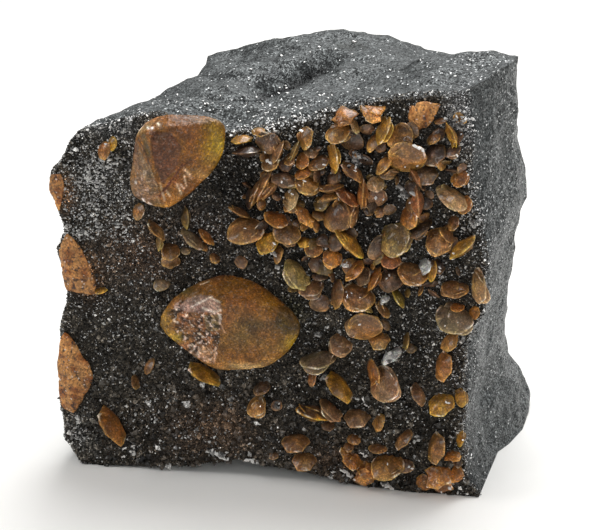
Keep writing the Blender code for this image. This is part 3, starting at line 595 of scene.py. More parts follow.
# Small crystals by the node that they stand for: x, z, radius, lean, direction of the lean, and finish
SMALL_CRYSTALS = {
    "cluster_upper_middle_a": [
        (-1.8, 39.2, 1.32, 50, 134, "brown"), (-2.4, 37.3, 1.44, 72, 147, "brown"),
        (-3.4, 35.6, 1.8, 87, 160, "brown"), (-2.6, 35.9, 1.8, 90, 152, "brown"),
        (-1.9, 36.1, 1.68, 82, 139, "brown")],
    "cluster_upper_middle_b": [
        (1.9, 38.1, 1.02, 58, 101, "orange"), (2.3, 36.9, 1.44, 51, 69, "amber")],
    "cluster_upper_middle_c": [
        (-4.3, 34.7, 1.32, 62, 174, "dark"), (-5.4, 33.1, 1.44, 96, 64, "brown"),
        (-2.8, 31.5, 1.2, 62, -38, "dark"), (-4.7, 30.9, 2.1, 53, 94, "brown"),
        (-2.1, 29.7, 1.5, 46, 111, "gold")],
    "cluster_upper_middle_d": [
        (-1.1, 32.5, 1.62, 76, 69, "orange"), (0.1, 31, 1.62, 43, 80, "brown"),
        (2.2, 30, 0.9, 65, 86, "gold"), (3.2, 29.2, 1.08, 50, 62, "brown"),
        (5.4, 28.3, 1.26, 53, 76, "orange")],
    "cluster_top_middle_a": [
        (-3.2, 42.6, 0.84, 66, 86, "gold"), (-2.1, 41.4, 1.44, 11, -91, "plum"),
        (-1, 40.3, 1.44, 74, 153, "brown"), (-4.5, 40.3, 1.8, 94, 97, "dark")],
    "cluster_top_middle_b": [
        (0.9, 40.6, 1.32, 85, 157, "olive"), (0.3, 39.6, 0.72, 41, 127, "brown")],
    "cluster_top_middle_c": [
        (2.1, 42.2, 1.32, 42, 157, "amber"), (2.8, 40.6, 0.84, 52, 83, "plum"),
        (1.8, 39.5, 0.96, 30, 137, "orange"), (3.7, 39.4, 1.26, 59, 114, "brown")],
    "crystal_upper_middle": [(-0.3, 37.2, 1.56, 73, 79, "plum")],
    "cluster_upper_right_a": [
        (5.1, 36.6, 1.56, 90, 102, "brown"), (7, 35.6, 1.56, 81, 55, "rust")],
    "cluster_upper_right_b": [
        (10.2, 37.3, 1.02, 40, 79, "tan"), (8.7, 36, 1.8, 81, 177, "orange"),
        (10.4, 35.8, 1.2, 22, -45, "pink")],
    "cluster_upper_right_c": [
        (7.8, 33.4, 1.44, 82, -6, "brown"), (5.9, 33.2, 1.86, 35, 150, "brown"),
        (7.4, 30.2, 2.22, 90, 46, "gold")],
    "cluster_top_right_a": [
        (5.8, 42.9, 1.5, 51, 110, "amber"), (7.4, 42.2, 1.44, 24, -118, "plum"),
        (5.4, 40.1, 1.8, 65, -176, "gold")],
    "cluster_top_right_b": [
        (10.9, 43.5, 1.8, 71, 156, "gold"), (12.8, 42.9, 1.56, 25, 126, "amber"),
        (13.6, 40.6, 2.34, 32, -81, "amber")],
    "crystal_top_right": [(7.5, 38.6, 1.68, 84, 51, "brown")],
    "crystal_upper_far_right_a": [(14.9, 35.6, 1.92, 79, -174, "rust")],
    "crystal_upper_far_right_b": [(20.2, 30.6, 2.04, 86, 132, "gold")],
    "crystal_top_far_right_a": [(15.9, 38.7, 1.32, 45, 81, "plum")],
    "crystal_top_far_right_b": [(16.7, 41.1, 1.44, 41, 127, "dark")],
    "cluster_top_far_right": [
        (18.5, 43.4, 1.56, 70, -156, "gold"), (18.7, 41.7, 1.08, 64, 112, "dark")],
    "cluster_upper_far_right_a": [
        (19.6, 38.5, 1.08, 41, 127, "orange"), (18.8, 36.2, 2.1, 76, 62, "tan"),
        (20.3, 35.5, 1.08, 43, 139, "orange")],
    "cluster_upper_far_right_b": [
        (14, 33.6, 1.5, 45, 161, "orange"), (15.4, 32.4, 1.56, 76, 124, "dark"),
        (19.1, 33.3, 0.9, 43, 151, "brown"), (18.4, 31.9, 1.2, 82, 49, "brown"),
        (17.5, 31.1, 1.68, 42, 80, "brown")],
    "crystal_centre_left": [(-15.2, 30.3, 1.5, 92, 43, "brown")],
    "crystal_upper_left": [(-11.7, 32, 1.44, 65, 180, "olive")],
    "cluster_centre_right_a": [
        (12.4, 30.9, 2.1, 34, 145, "olive"), (10.7, 29.9, 1.5, 42, -9, "plum"),
        (12.1, 28.5, 1.26, 57, 84, "rust")],
    "cluster_centre_right_b": [
        (8, 27, 1.62, 71, 134, "orange"), (6.1, 24.1, 1.8, 60, 167, "brown"),
        (8.4, 23.8, 1.98, 47, 68, "brown"), (9.3, 22.7, 1.08, 87, 62, "olive"),
        (9.3, 20.3, 2.1, 24, -84, "amber"), (8, 20.3, 1.2, 44, 129, "plum"),
        (7.8, 19.7, 0.84, 35, 157, "plum")],
    "cluster_centre_right_c": [
        (11.6, 23.8, 0.6, 52, 107, "clear"), (11.4, 22.5, 1.14, 79, 45, "brown")],
    "cluster_centre_right_d": [
        (16, 28, 1.08, 44, 152, "clear"), (16.9, 27.6, 1.32, 62, 167, "gold"),
        (14.7, 27.1, 1.8, 52, 69, "brown"), (12.2, 26.1, 1.44, 37, 77, "dark"),
        (10.3, 26.1, 1.62, 80, 153, "orange"), (9, 26.4, 1.26, 56, 148, "plum"),
        (13.1, 24.1, 1.5, 92, 32, "lime")],
    "cluster_centre_left": [
        (-10.9, 29.4, 1.8, 90, 48, "grey"), (-11.8, 28, 0.6, 58, 84, "grey"),
        (-13.6, 27.8, 1.2, 46, 81, "brown"), (-13.6, 26.6, 1.14, 30, -71, "brown")],
    "cluster_centre_middle": [
        (1.3, 26.1, 2.04, 73, 39, "pale"), (3.1, 24.5, 1.56, 72, 103, "pink")],
    "cluster_centre_far_right_a": [
        (19.9, 23.4, 0.9, 71, 87, "orange"), (19.5, 22, 2.22, 60, 81, "grey")],
    "cluster_centre_far_right_b": [
        (19.5, 25.6, 1.74, 72, 87, "brown"), (22.2, 26.1, 1.98, 59, 178, "tan")],
    "crystal_lower_left": [(-9.6, 13, 2.22, 89, 62, "gold")],
    "cluster_lower_right_a": [
        (6.6, 17.8, 1.5, 45, 68, "pink"), (4, 15.8, 2.22, 82, 97, "grey")],
    "cluster_lower_right_b": [
        (10.5, 14.7, 1.68, 55, -172, "orange"), (11.8, 13.4, 2.1, 31, 152, "pink")],
    "crystal_lower_right_a": [(6.5, 12.6, 2.16, 79, 47, "gold")],
    "crystal_lower_right_b": [(11.1, 18.7, 1.26, 46, 81, "amber")],
    "crystal_lower_right_c": [(12.6, 16.9, 1.5, 76, 128, "clear")],
    "crystal_lower_far_right_a": [(15.8, 12.4, 1.44, 74, 35, "pink")],
    "crystal_lower_far_right_b": [(18.6, 16.1, 1.86, 56, 165, "orange")],
    "crystal_foot_left": [(-20.9, 5.5, 2.58, 86, 36, "orange")],
    "cluster_foot_middle": [
        (-2.7, 11.6, 1.14, 58, 109, "plum"), (-3.3, 9.3, 1.38, 49, 123, "amber")],
    "crystal_foot_middle_a": [(1.4, 5.2, 1.74, 69, 87, "brown")],
    "crystal_foot_middle_b": [(2.5, 2.9, 1.5, 58, 84, "brown")],
    "cluster_foot_right_a": [
        (5.5, 9.7, 1.74, 87, 46, "pink"), (3.5, 9.2, 2.16, 95, 75, "dark_glowing_below")],
    "cluster_foot_right_b": [
        (8.2, 3.4, 1.44, 64, 47, "rough"), (10.1, 2.3, 1.44, 63, 86, "rough"),
        (12.4, 3.1, 2.1, 62, 94, "amber"), (14.7, 3.2, 0.9, 41, 79, "plum"),
        (9.6, 1.3, 1.44, 25, -101, "rough")],
    "crystal_foot_right": [(8.7, 8.9, 1.62, 64, 86, "pink")],
    "crystal_foot_far_right_a": [(14.3, 6.7, 1.5, 72, 140, "brown")],
    "crystal_foot_far_right_b": [(18.1, 5.9, 1.98, 57, 165, "amber")],
    "crystal_foot_far_right_c": [(18.5, 11.4, 1.62, 47, 104, "gold")],
    "cluster_foot_far_right": [
        (18.7, 2.5, 1.56, 43, 80, "rough"), (17, 1.3, 1.08, 29, -149, "rough"),
        (18.9, 0.9, 1.32, 41, -84, "rough")],
}
# The smallest single ones: those that share the ore's solid, and at the end eleven that are only here
CRYSTALS_ON_ORE = [
    (9.6, 45.6, 1.4, 62, 85, "rough"), (6.4, 44.8, 1.6, 59, 101, "rough"),
    (9.8, 42.1, 1.2, 61, 140, "amber"), (-20.3, 40.3, 0.9, 39, 161, "gold"),
    (-21.3, 39.4, 1.14, 41, 157, "orange"), (11.1, 39.6, 1.56, 75, 138, "amber"),
    (0.5, 35, 1.32, 40, 162, "tan"), (2.1, 33.3, 1.44, 83, 44, "rough"),
    (-17.3, 32.4, 1.08, 44, 152, "amber"), (5.7, 30.1, 1.02, 26, 143, "plum"),
    (-9.3, 29.8, 1.32, 93, 48, "orange"), (-9.7, 28.7, 0.72, 72, 50, "brown"),
    (-0.9, 28.3, 1.14, 55, 160, "brown"), (7.1, 27.8, 0.72, 55, 84, "clear"),
    (-14.9, 28.9, 1.14, 67, 172, "olive"), (-5.2, 27.1, 0.78, 20, 63, "pink"),
    (3.6, 27.4, 0.96, 20, 63, "plum"), (-8.3, 27.3, 0.72, 65, 55, "brown"),
    (0.9, 24.2, 0.66, 73, 88, "olive"), (4.1, 22.7, 1.26, 13, -42, "pink"),
    (21.9, 22.9, 0.78, 40, 149, "orange"), (14.3, 18.8, 1.14, 72, 173, "olive"),
    (19.2, 19.2, 1.38, 60, 140, "amber"), (14.9, 17.9, 0.72, 55, 84, "grey"),
    (3.3, 13.6, 1.26, 62, 168, "rust"), (-16.3, 13.4, 1.08, 62, 143, "brown"),
    (20.7, 12.4, 1.14, 46, 173, "gold"), (-18, 11.2, 0.96, 79, 17, "brown"),
    (11.3, 8.5, 1.2, 60, 162, "amber"), (5.3, 7.6, 0.84, 65, 94, "plum"),
    (8.4, 6.1, 0.84, 52, 83, "brown"), (20.9, 7.3, 1.02, 66, 165, "gold"),
    (11.2, 5.2, 1.14, 81, 89, "brown"), (20, 5.1, 1.14, 74, 106, "rough"),
    (20.7, 4.2, 0.6, 58, 84, "dark"), (-1.2, 3.2, 0.6, 46, 81, "pink"),
    (20.8, 2.8, 1.14, 33, 142, "rough"), (-22.1, 22.4, 0.75, 70, 100, "gold"),
    (-5.2, 41.6, 1.32, 84, 97, "gold"), (4.6, 27, 1.02, 20, 63, "olive"),
    (-14.7, 23.7, 1.02, 56, 84, "grey"), (-0.9, 9.6, 0.7, 20, 63, "plum"),
    (11.8, 20.7, 0.78, 68, 38, "plum"), (7.8, 5, 0.66, 45, 81, "brown"), (5, 35.5, 1.2, 88, 100, "brown"),
    (14.7, 38.3, 1.32, 100, 32, "rust"), (14.1, 35, 1.08, 62, 180, "brown"),
    (7.7, 43.9, 1.08, 78, 27, "tan")]
# Corners of the larger crystals and of the broken ones: x, z, and how far out from the front face
LARGE_CRYSTALS = {
    "large_crystal_lower": [
        (-14.6, 20.5, 2.2), (-14.4, 19.0, 2.2), (-7.5, 14.4, 2.6), (-4.7, 14.6, 2.6), (-1.1, 15.5, 2.6),
        (1.4, 17.7, 2.3), (2.6, 20.8, 1.6), (1.2, 22.3, 1.4), (-3.3, 25.5, 1.4), (-7.3, 26.3, 1.4),
        (-9.2, 25.4, 1.5), (-12.3, 23.9, 1.6), (-14.3, 21.7, 2.0),
        (-6.3, 24.0, 5.5), (-8.7, 24.6, 4.7), (-11.0, 23.5, 3.5), (-0.6, 23.2, 3.6),
        (-7.4, 15.8, 3.5), (-1.8, 16.5, 3.6), (1.0, 18.3, 3.1),
        (-9.5, 18.5, -2.6), (-2.5, 18.5, -2.6), (-2.5, 21.5, -2.6), (-9.5, 21.5, -2.6)],
    "large_crystal_upper": [
        (-17.7, 38.1, 2.0), (-17.9, 36.3, 2.0), (-17.2, 34.5, 2.0), (-14.3, 33.6, 2.2), (-12.7, 33.8, 2.2),
        (-10.7, 35.3, 2.0), (-8.5, 37.7, 1.8), (-7.1, 39.4, 1.8), (-6.6, 41.8, 1.6), (-6.6, 43.8, 1.5),
        (-8.0, 44.7, 1.5), (-13.1, 44.7, 2.2), (-14.0, 44.9, 2.4), (-15.0, 44.5, 2.6), (-16.6, 43.3, 2.6),
        (-16.9, 41.8, 2.4),
        (-16.3, 42.6, 3.6), (-14.6, 43.5, 5.0), (-14.4, 39.9, 5.3), (-15.6, 41.0, 4.3), (-13.7, 36.2, 3.8),
        (-12.4, 44.0, 4.6), (-8.2, 44.0, 2.9),
        (-14.0, 37.0, -1.6), (-10.0, 39.5, -1.6), (-14.0, 41.0, -1.6)],
}
BROKEN_CRYSTALS = {
    "broken_crystal_left_top": [
        (-27.8, 36.4, 0.3), (-28.1, 34.6, 0.4), (-27.4, 33.0, 0.3), (-26.4, 33.2, 0.5), (-25.9, 35.0, 0.6),
        (-26.4, 36.6, 0.5), (-27.0, 35.0, 0.9), (-26.9, 31.6, 0.2), (-27.0, 35.0, -1.6)],
    "broken_crystal_left_middle": [
        (-26.2, 29.8, 0.2), (-27.3, 27.2, 0.4), (-26.9, 25.0, 0.4), (-26.5, 22.0, 0.3), (-24.9, 21.8, 0.5),
        (-24.2, 23.0, 0.5), (-22.9, 24.5, 0.45), (-23.2, 25.4, 0.5), (-24.0, 27.9, 0.6), (-25.3, 29.5, 0.6),
        (-22.5, 21.6, 0.3), (-22.4, 23.0, 0.35), (-26.0, 26.6, 1.2), (-25.2, 24.6, 1.1), (-25.8, 26.0, -1.8)],
    "broken_crystal_left_bottom": [
        (-27.0, 17.5, 0.2), (-27.7, 13.5, 0.5), (-27.7, 9.8, 0.5), (-27.4, 7.0, 0.4), (-25.4, 6.3, 0.6),
        (-24.0, 8.6, 0.7), (-23.0, 11.0, 0.6), (-23.2, 12.9, 0.6), (-25.0, 15.2, 0.7), (-25.6, 16.9, 0.5),
        (-26.2, 13.0, 1.3), (-25.6, 9.0, 1.2), (-26.2, 11.5, -2.0)],
    "broken_crystal_top_edge": [
        (14.0, 43.9, 0.4), (15.6, 43.9, 0.5), (16.6, 44.9, 0.5), (17.2, 46.4, 0.4), (17.6, 47.2, 0.3),
        (15.0, 47.3, 0.4), (13.6, 46.6, 0.4), (13.4, 45.1, 0.4), (15.4, 45.8, 1.1), (15.4, 45.6, -1.6)],
}


# Materials

def set_inputs(tree, node, inputs):
    """Sets a node's sockets, by name or number, to plain values or links them to what feeds them."""
    for socket, value in inputs.items():
        if isinstance(value, bpy.types.NodeSocket):
            tree.links.new(value, node.inputs[socket])
        else:
            node.inputs[socket].default_value = value


def add_node(tree, kind, inputs=(), **settings):
    """The outputs of a new node. Its inputs are values for its sockets in order, or by name or number."""
    node = tree.nodes.new("ShaderNode" + kind)
    for name, value in settings.items():
        setattr(node, name, value)
    set_inputs(tree, node, inputs if isinstance(inputs, dict) else dict(enumerate(inputs)))
    return node.outputs


def per(size):
    """A texture's scale for a pattern of this size in millimetres, on Object coordinates in metres."""
    return 1.0 / (size * MM)


def opaque(colour):
    """An sRGB hex colour as the four linear values of a colour socket."""
    return (*linear(colour), 1.0)


def new_material(name, plain):
    """A material with one Principled surface, its plain values set on the surface's own sockets."""
    material = bpy.data.materials.new(name)
    material.use_nodes = True
    surface = material.node_tree.nodes["Principled BSDF"]
    set_inputs(material.node_tree, surface, plain)
    return material, material.node_tree, surface


def own_values(tree):
    """What a piece brings to its material: Object coordinates, and its tint's colour and fourth value."""
    tint = add_node(tree, "Attribute", attribute_name="tint")
    return add_node(tree, "TexCoord")["Object"], tint["Color"], tint["Alpha"]


def tilted_grains(tree, place, size, tilt):
    """Grains of this size in mm: three random values of each one, and the surface's own direction turned
    by tilt times those values less a half, so that each grain faces its own way."""
    colour = add_node(tree, "TexVoronoi", {"Vector": place, "Scale": per(size)})["Color"]
    off = add_node(tree, "VectorMath", (colour, (0.5, 0.5, 0.5)), operation="SUBTRACT")[0]
    scaled = add_node(tree, "VectorMath", {0: off, "Scale": tilt}, operation="SCALE")[0]
    facing = add_node(tree, "NewGeometry")["Normal"]
    turned = add_node(tree, "VectorMath", (facing, scaled), operation="ADD")[0]
    unit = add_node(tree, "VectorMath", (turned,), operation="NORMALIZE")[0]
    return add_node(tree, "SeparateColor", (colour,)), unit


def dark_ore(name, grain, tilt, brightness, streaks, roughness, plain):
    """Dark ore in grains of the given size in mm. Each faces its own way by the given tilt, has its own
    roughness, and is dim or bright by chance, most of them dim, in streaks of the given size in mm.
    The fourth value of the tint says what share of them are white points, partly white grains and
    partly painted glints."""
    material, tree, surface = new_material(name, plain)
    place, tint, share = own_values(tree)
    chance, facing = tilted_grains(tree, place, grain, tilt)
    drawn_out = add_node(tree, "VectorMath", (place, (0.4, 1.0, 0.8)), operation="MULTIPLY")[0]
    mottle = add_node(tree, "TexNoise", {"Vector": drawn_out, "Scale": per(streaks), "Detail": 5.0,
                                         "Roughness": 0.7})["Fac"]
    shade = add_node(tree, "MapRange", (mottle, 0.35, 0.65, 0.55, 1.4))[0]
    skewed = add_node(tree, "Math", (chance[1], 2.0), operation="POWER")[0]
    speck = add_node(tree, "MapRange", (skewed, 0.0, 1.0, *brightness))[0]
    both = add_node(tree, "Math", (shade, speck), operation="MULTIPLY")[0]
    body = add_node(tree, "VectorMath", {0: tint, "Scale": both}, operation="SCALE")[0]
    rest = add_node(tree, "Math", (1.0, share), operation="SUBTRACT")[0]
    white_or_glint = add_node(tree, "Math", (chance[0], rest), operation="GREATER_THAN")[0]
    white = add_node(tree, "MapRange", (chance[2], 0.0, 1.0, 0.15, 1.0))[0]
    lit = add_node(tree, "Math", (white_or_glint, white), operation="MULTIPLY")[0]
    colour = add_node(tree, "Mix", {0: lit, 6: body, 7: opaque("#f4f5f5")}, data_type="RGBA")[2]
    rough = add_node(tree, "MapRange", (chance[2], 0.0, 1.0, *roughness))[0]
    set_inputs(tree, surface, {"Base Color": colour, "Roughness": rough, "Normal": facing})
    return material


def manganese_ore():
    """Broken manganese ore, fine-grained braunite and hausmannite: grey-black and submetallic. Its
    grains each face their own way, so that the break sparkles finely, and dark streaks run along it.
    The grains are drawn as coarse as they need to be to show."""
    return dark_ore("broken_manganese_ore", 0.16, 0.8, (0.35, 2.1), 0.8, (0.3, 0.6),
                    {"Metallic": 0.25, "Specular IOR Level": 0.2})


def fine_crust():
    """Crust of sub-millimetre hausmannite crystals: black and submetallic. They differ so much in
    brightness, the brightest painted as glints, and in facing that some flash white beside others that
    stay dark."""
    return dark_ore("hausmannite_crust", 0.14, 0.8, (0.1, 3.0), 0.5, (0.15, 0.5),
                    {"Metallic": 0.15, "Specular IOR Level": 0.2})


def coarse_crust():
    """Larger hausmannite crystals of the crust: black, evener than the fine ones, and glossier."""
    return dark_ore("hausmannite_coarse_crust", 0.14, 0.3, (0.6, 2.3), 0.5, (0.15, 0.5),
                    {"Metallic": 0.15, "Specular IOR Level": 0.5})


def sturmanite(name, grain, tilt, contrast, relief_height, roughness, plain):
    """Sturmanite: waxy to vitreous brown crystal with IOR 1.50, a little light passing through the
    body and more through its thin edges. It is finely grained by growth, lighter and darker by the
    given contrast at the given grain in mm, with a few pale grains that are painted glints, and the
    fourth value of the tint says how clear a place is. Each grain faces its own way by the given tilt.
    It does so much more, and more grains are painted pale as glints, where the coarse attribute is
    high: there the face is broken, and glitters."""
    material, tree, surface = new_material(name, {"IOR": 1.5, "Subsurface Scale": 0.4 * MM,
                                                  "Subsurface Radius": (1.0, 0.45, 0.15), **plain})
    place, tint, clear = own_values(tree)
    coarse = add_node(tree, "Attribute", attribute_name="coarse")["Fac"]
    off = add_node(tree, "Math", (coarse, 0.35, tilt), operation="MULTIPLY_ADD")[0]
    chance, facing = tilted_grains(tree, place, grain, off)
    cloud = add_node(tree, "TexNoise", {"Vector": place, "Scale": per(1.0), "Detail": 3.0})["Fac"]
    skewed = add_node(tree, "Math", (chance[2], 2.5), operation="POWER")[0]
    speck = add_node(tree, "MapRange", (skewed, 0.0, 1.0, 1 - 0.6 * contrast, 1 + 1.8 * contrast))[0]
    wide = add_node(tree, "MapRange", (cloud, 0.32, 0.68, 0.65, 1.35))[0]
    both = add_node(tree, "Math", (speck, wide), operation="MULTIPLY")[0]
    body = add_node(tree, "VectorMath", {0: tint, "Scale": both}, operation="SCALE")[0]
    tinge = add_node(tree, "TexNoise", {"Vector": place, "Scale": per(1.8), "Detail": 2.0})["Fac"]
    green = add_node(tree, "MapRange", (tinge, 0.4, 0.6, 0.0, 1.0))[0]
    hue = add_node(tree, "Mix", {0: green, 6: opaque("#ffe0d0"), 7: opaque("#eae6c2")}, data_type="RGBA")[2]
    weak = add_node(tree, "MapRange", (clear, 0.1, 0.35, 0.5, 0.0))[0]
    tinged = add_node(tree, "Mix", {0: weak, 6: body, 7: hue}, data_type="RGBA", blend_type="MULTIPLY")[2]
    share = add_node(tree, "Math", (coarse, 0.2), operation="MAXIMUM")[0]
    painted_glint = add_node(tree, "MapRange", (chance[0], 0.9, 0.96, 0.0, 0.4))[0]
    pale = add_node(tree, "Math", (painted_glint, share), operation="MULTIPLY")[0]
    colour = add_node(tree, "Mix", {0: pale, 6: tinged, 7: opaque("#f4e6da")}, data_type="RGBA")[2]
    rough = add_node(tree, "MapRange", (chance[1], 0.0, 1.0, *roughness))[0]
    bumps = add_node(tree, "Bump", {"Height": cloud, "Distance": relief_height * MM, "Strength": 1.0,
                                    "Normal": facing})[0]
    set_inputs(tree, surface, {"Base Color": colour, "Roughness": rough, "Normal": bumps,
                               "Transmission Weight": clear})
    return material


def small_sturmanite():
    """The small crystals: thin, with blunt growth steps that leave them waxy under a thin gloss."""
    return sturmanite("sturmanite_small_lenses", 0.16, 0.15, 0.5, 0.05, (0.35, 0.65),
                      {"Specular IOR Level": 0.35, "Coat Weight": 0.35, "Coat Roughness": 0.04,
                       "Subsurface Weight": 0.15})


def large_sturmanite():
    """The large crystals: thick, with smoother faces, so that less light comes out of their bodies."""
    return sturmanite("sturmanite_large_crystals", 0.17, 0.25, 0.5, 0.1, (0.2, 0.55),
                      {"Specular IOR Level": 0.25, "Subsurface Weight": 0.08})


def broken_sturmanite():
    """Sturmanite broken across: matt and terracotta, grained from yellowish to reddish, pitted, darker
    in its pits, and with a few grains painted white as glints."""
    material, tree, surface = new_material("sturmanite_broken_pitted", {"IOR": 1.5})
    place, tint = own_values(tree)[:2]
    chance, facing = tilted_grains(tree, place, 0.18, 0.6)
    pits = add_node(tree, "TexNoise", {"Vector": place, "Scale": per(0.55), "Detail": 3.0})["Fac"]
    cloud = add_node(tree, "TexNoise", {"Vector": place, "Scale": per(1.1), "Detail": 3.0})["Fac"]
    speck = add_node(tree, "MapRange", (chance[2], 0.0, 1.0, 0.45, 1.55))[0]
    body = add_node(tree, "VectorMath", {0: tint, "Scale": speck}, operation="SCALE")[0]
    yellow = add_node(tree, "MapRange", (cloud, 0.45, 0.65, 0.0, 1.0))[0]
    warm = add_node(tree, "Mix", {0: yellow, 6: body, 7: opaque("#c4a070")}, data_type="RGBA",
                    blend_type="MULTIPLY")[2]
    deep = add_node(tree, "MapRange", (pits, 0.58, 0.66, 0.0, 0.85))[0]
    sunk = add_node(tree, "Mix", {0: deep, 6: warm, 7: opaque("#2e2018")}, data_type="RGBA")[2]
    painted_glint = add_node(tree, "MapRange", (chance[0], 0.97, 0.99, 0.0, 0.6))[0]
    colour = add_node(tree, "Mix", {0: painted_glint, 6: sunk, 7: opaque("#f0e4d8")}, data_type="RGBA")[2]
    rough = add_node(tree, "MapRange", (chance[1], 0.0, 1.0, 0.35, 0.8))[0]
    bumps = add_node(tree, "Bump", {"Height": pits, "Distance": -0.3 * MM, "Strength": 1.0,
                                    "Normal": facing})[0]
    set_inputs(tree, surface, {"Base Color": colour, "Roughness": rough, "Normal": bumps})
    return material


def colourless_grain():
    """Colourless calcite in cleavage rhombs: glassy, IOR 1.6, white where it is full of cracks. White
    rhombs also stand as painted glints. The tint says how white each rhomb is."""
    material, tree, surface = new_material("calcite_grains_and_glints", {"IOR": 1.6, "Transmission Weight": 0.15})
    place, tint = own_values(tree)[:2]
    frost = add_node(tree, "TexNoise", {"Vector": place, "Scale": per(0.5), "Detail": 3.0})["Fac"]
    rough = add_node(tree, "MapRange", (frost, 0.35, 0.65, 0.05, 0.3))[0]
    set_inputs(tree, surface, {"Base Color": tint, "Roughness": rough})
    return material


# Colours laid over the ore's front, the near-black ones painted shade in its hollows and among the
# crowded crystals: x, z, half width, half height, colour and strength
FRONT_PATCHES_AND_SHADE = [
    (-21.5, 36.0, 4.5, 4.0, "#3c3a35", 0.7), (-20.5, 42.3, 3.5, 1.3, "#5a5c5c", 0.8),
    (-17.5, 27.5, 4.5, 4.0, "#46362a", 0.8), (-9.0, 5.5, 6.0, 4.0, "#483a2e", 0.8),
    (-7.8, 6.5, 2.5, 2.0, "#544232", 0.6),
    (0.1, 21.5, 2.0, 1.5, "#3c3c2c", 0.7), (-25.0, 3.5, 2.5, 2.5, "#4c4a46", 0.7),
    (19.5, 45.5, 1.5, 3.0, "#77787a", 0.7), (-9.5, 31.0, 4.0, 3.0, "#4c423a", 0.6),
    # the near-black patches here and below are painted shade in hollows and among crowded crystals
    (6.0, 3.0, 4.0, 2.5, "#4c3a2c", 0.5), (14.0, 20.0, 3.0, 8.0, "#24221f", 0.6),
    (-6.0, 36.0, 4.0, 4.0, "#1f1d1a", 0.8), (7.0, 34.0, 12.0, 9.0, "#1c1a17", 0.7),
    (-23.6, 24.0, 1.3, 2.2, "#8c6a4c", 0.85), (-26.0, 34.0, 0.9, 2.0, "#8c6a4c", 0.6)]
ORE_GREY = "#5a5d5d"
FRONT_GREY = "#34302a"
FRONT_DEPTH = 0.03                  # share of the depth over which the front's colour fades out
# Painted shade: the top darker towards its right, where less light falls
ORE_TOP_PAINTED_SHADE = ((4, 20), (0.9, 0.78))     # along X, and how bright the top is there
RIGHT_DARKER = (0.45, -12.0, 4.0)   # share by which the right side darkens, where along Y, and how wide
# Painted shade in the cracks and ledges of the top, darkest in the groove, and one pale line, a painted
# highlight, as the camera sees them: rows as in streaked
TOP_PAINTED_SHADE_AND_HIGHLIGHT = [
    (-3.5, 46.6, -1.4, 48.0, 0.20, "#0a0c0e", 0.9), (-1.4, 48.0, 0.0, 48.5, 0.33, "#0a0c0e", 0.95),
    (0.0, 48.5, 1.3, 49.2, 0.69, "#0e1010", 0.95), (1.3, 49.2, 2.5, 50.2, 0.81, "#101212", 0.95),
    (2.5, 50.2, 3.7, 50.9, 0.62, "#121414", 0.9), (3.7, 50.9, 5.1, 52.0, 0.44, "#181a1a", 0.75),
    (1.4, 47.8, 2.8, 47.2, 0.38, "#909494", 0.3), (6.1, 54.6, 7.6, 54.4, 0.38, "#2c2e28", 0.6),
    (7.6, 55.2, 9.3, 54.4, 0.31, "#2c2e28", 0.6), (-5.3, 46.2, -3.5, 46.6, 0.20, "#1c2022", 0.6),
    (7.4, 47.0, 8.5, 46.9, 0.25, "#181a1c", 0.7), (13.4, 50.0, 15.2, 50.6, 0.25, "#34373a", 0.5),
    (-2.6, 50.7, -0.9, 50.2, 0.31, "#34373a", 0.4)]
# Share of white points in the broken ore, partly painted glints: everywhere, and more round these places:
# x, y, z, spread, share
ORE_SPARKLE = 0.008
ORE_SPARKLES = [(24.0, 2.0, 48.0, 8.0, 0.05), (22.5, -9.0, 34.0, 9.0, 0.07), (24.0, -9.0, 12.0, 9.0, 0.06),
                (-3.0, -9.0, 43.0, 5.0, 0.05), (-18.0, -8.0, 43.0, 3.0, 0.03)]


def front_tint(place):
    """The front's dark brown with its patches, some of them painted shade."""
    return patched(plain_tint(FRONT_GREY, len(place)), FRONT_PATCHES_AND_SHADE, place[:, 0], place[:, 2])


def ore_tint(uvw, place):
    """The broken faces grey, with painted shade on the top's right, in its cracks and groove, and a painted
    highlight; the front dark brown with its patches and painted shade; and how the ore sparkles.
    """
    top, right = at_ends(uvw[:, 2])[1], at_ends(uvw[:, 0])[1]
    broken = plain_tint(ORE_GREY, len(uvw))
    broken[top] = streaked(broken[top], TOP_PAINTED_SHADE_AND_HIGHLIGHT, *as_seen(place[top]))
    broken *= np.where(top, np.interp(place[:, 0], *ORE_TOP_PAINTED_SHADE), 1)[:, None]
    less, middle, wide = RIGHT_DARKER
    broken *= (1 - less * right * np.exp(-((place[:, 1] - middle) / wide) ** 2))[:, None]
    front = np.clip(1 - uvw[:, 1] / FRONT_DEPTH, 0, 1)[:, None]
    share = np.full(len(uvw), ORE_SPARKLE)
    for x, y, z, spread, more in ORE_SPARKLES:
        away = np.linalg.norm(place - (x, y, z), axis=1)
        share += more * np.exp(-(away / spread) ** 2)
    return np.column_stack([broken + front * (front_tint(place) - broken), share])


def make_ore(material):
    """The ore block on its fine grid. Returns its points and faces, to stand crystals on."""
    uvw, quads = box_grid(ORE_CELLS)
    place = ore_place(uvw)
    new_piece("ore_block", place, quads.tolist(), material, ore_tint(uvw, place),
              replaces=["ore_matrix"])
    return place, quads.tolist()


# The crust of tiny crystals

CRUST_SPACING = 0.22                # between neighbouring crystals
CRUST_SIZES = (0.1, 0.22)           # half lengths, from the commonest to the rarest
CRUST_CONTRAST = 1.15               # spread of the logarithm of their brightness
COARSE_CONTRAST = 0.5               # the same for the coarser ones
CRUST_LIMITS = (0.05, 6)            # of their brightness over the front's own
CRUST_STRETCH = (0.6, 1.25)         # of each of their axes, by chance
RARITY = 3                          # sizes go by a chance to this power, so that large ones are rare
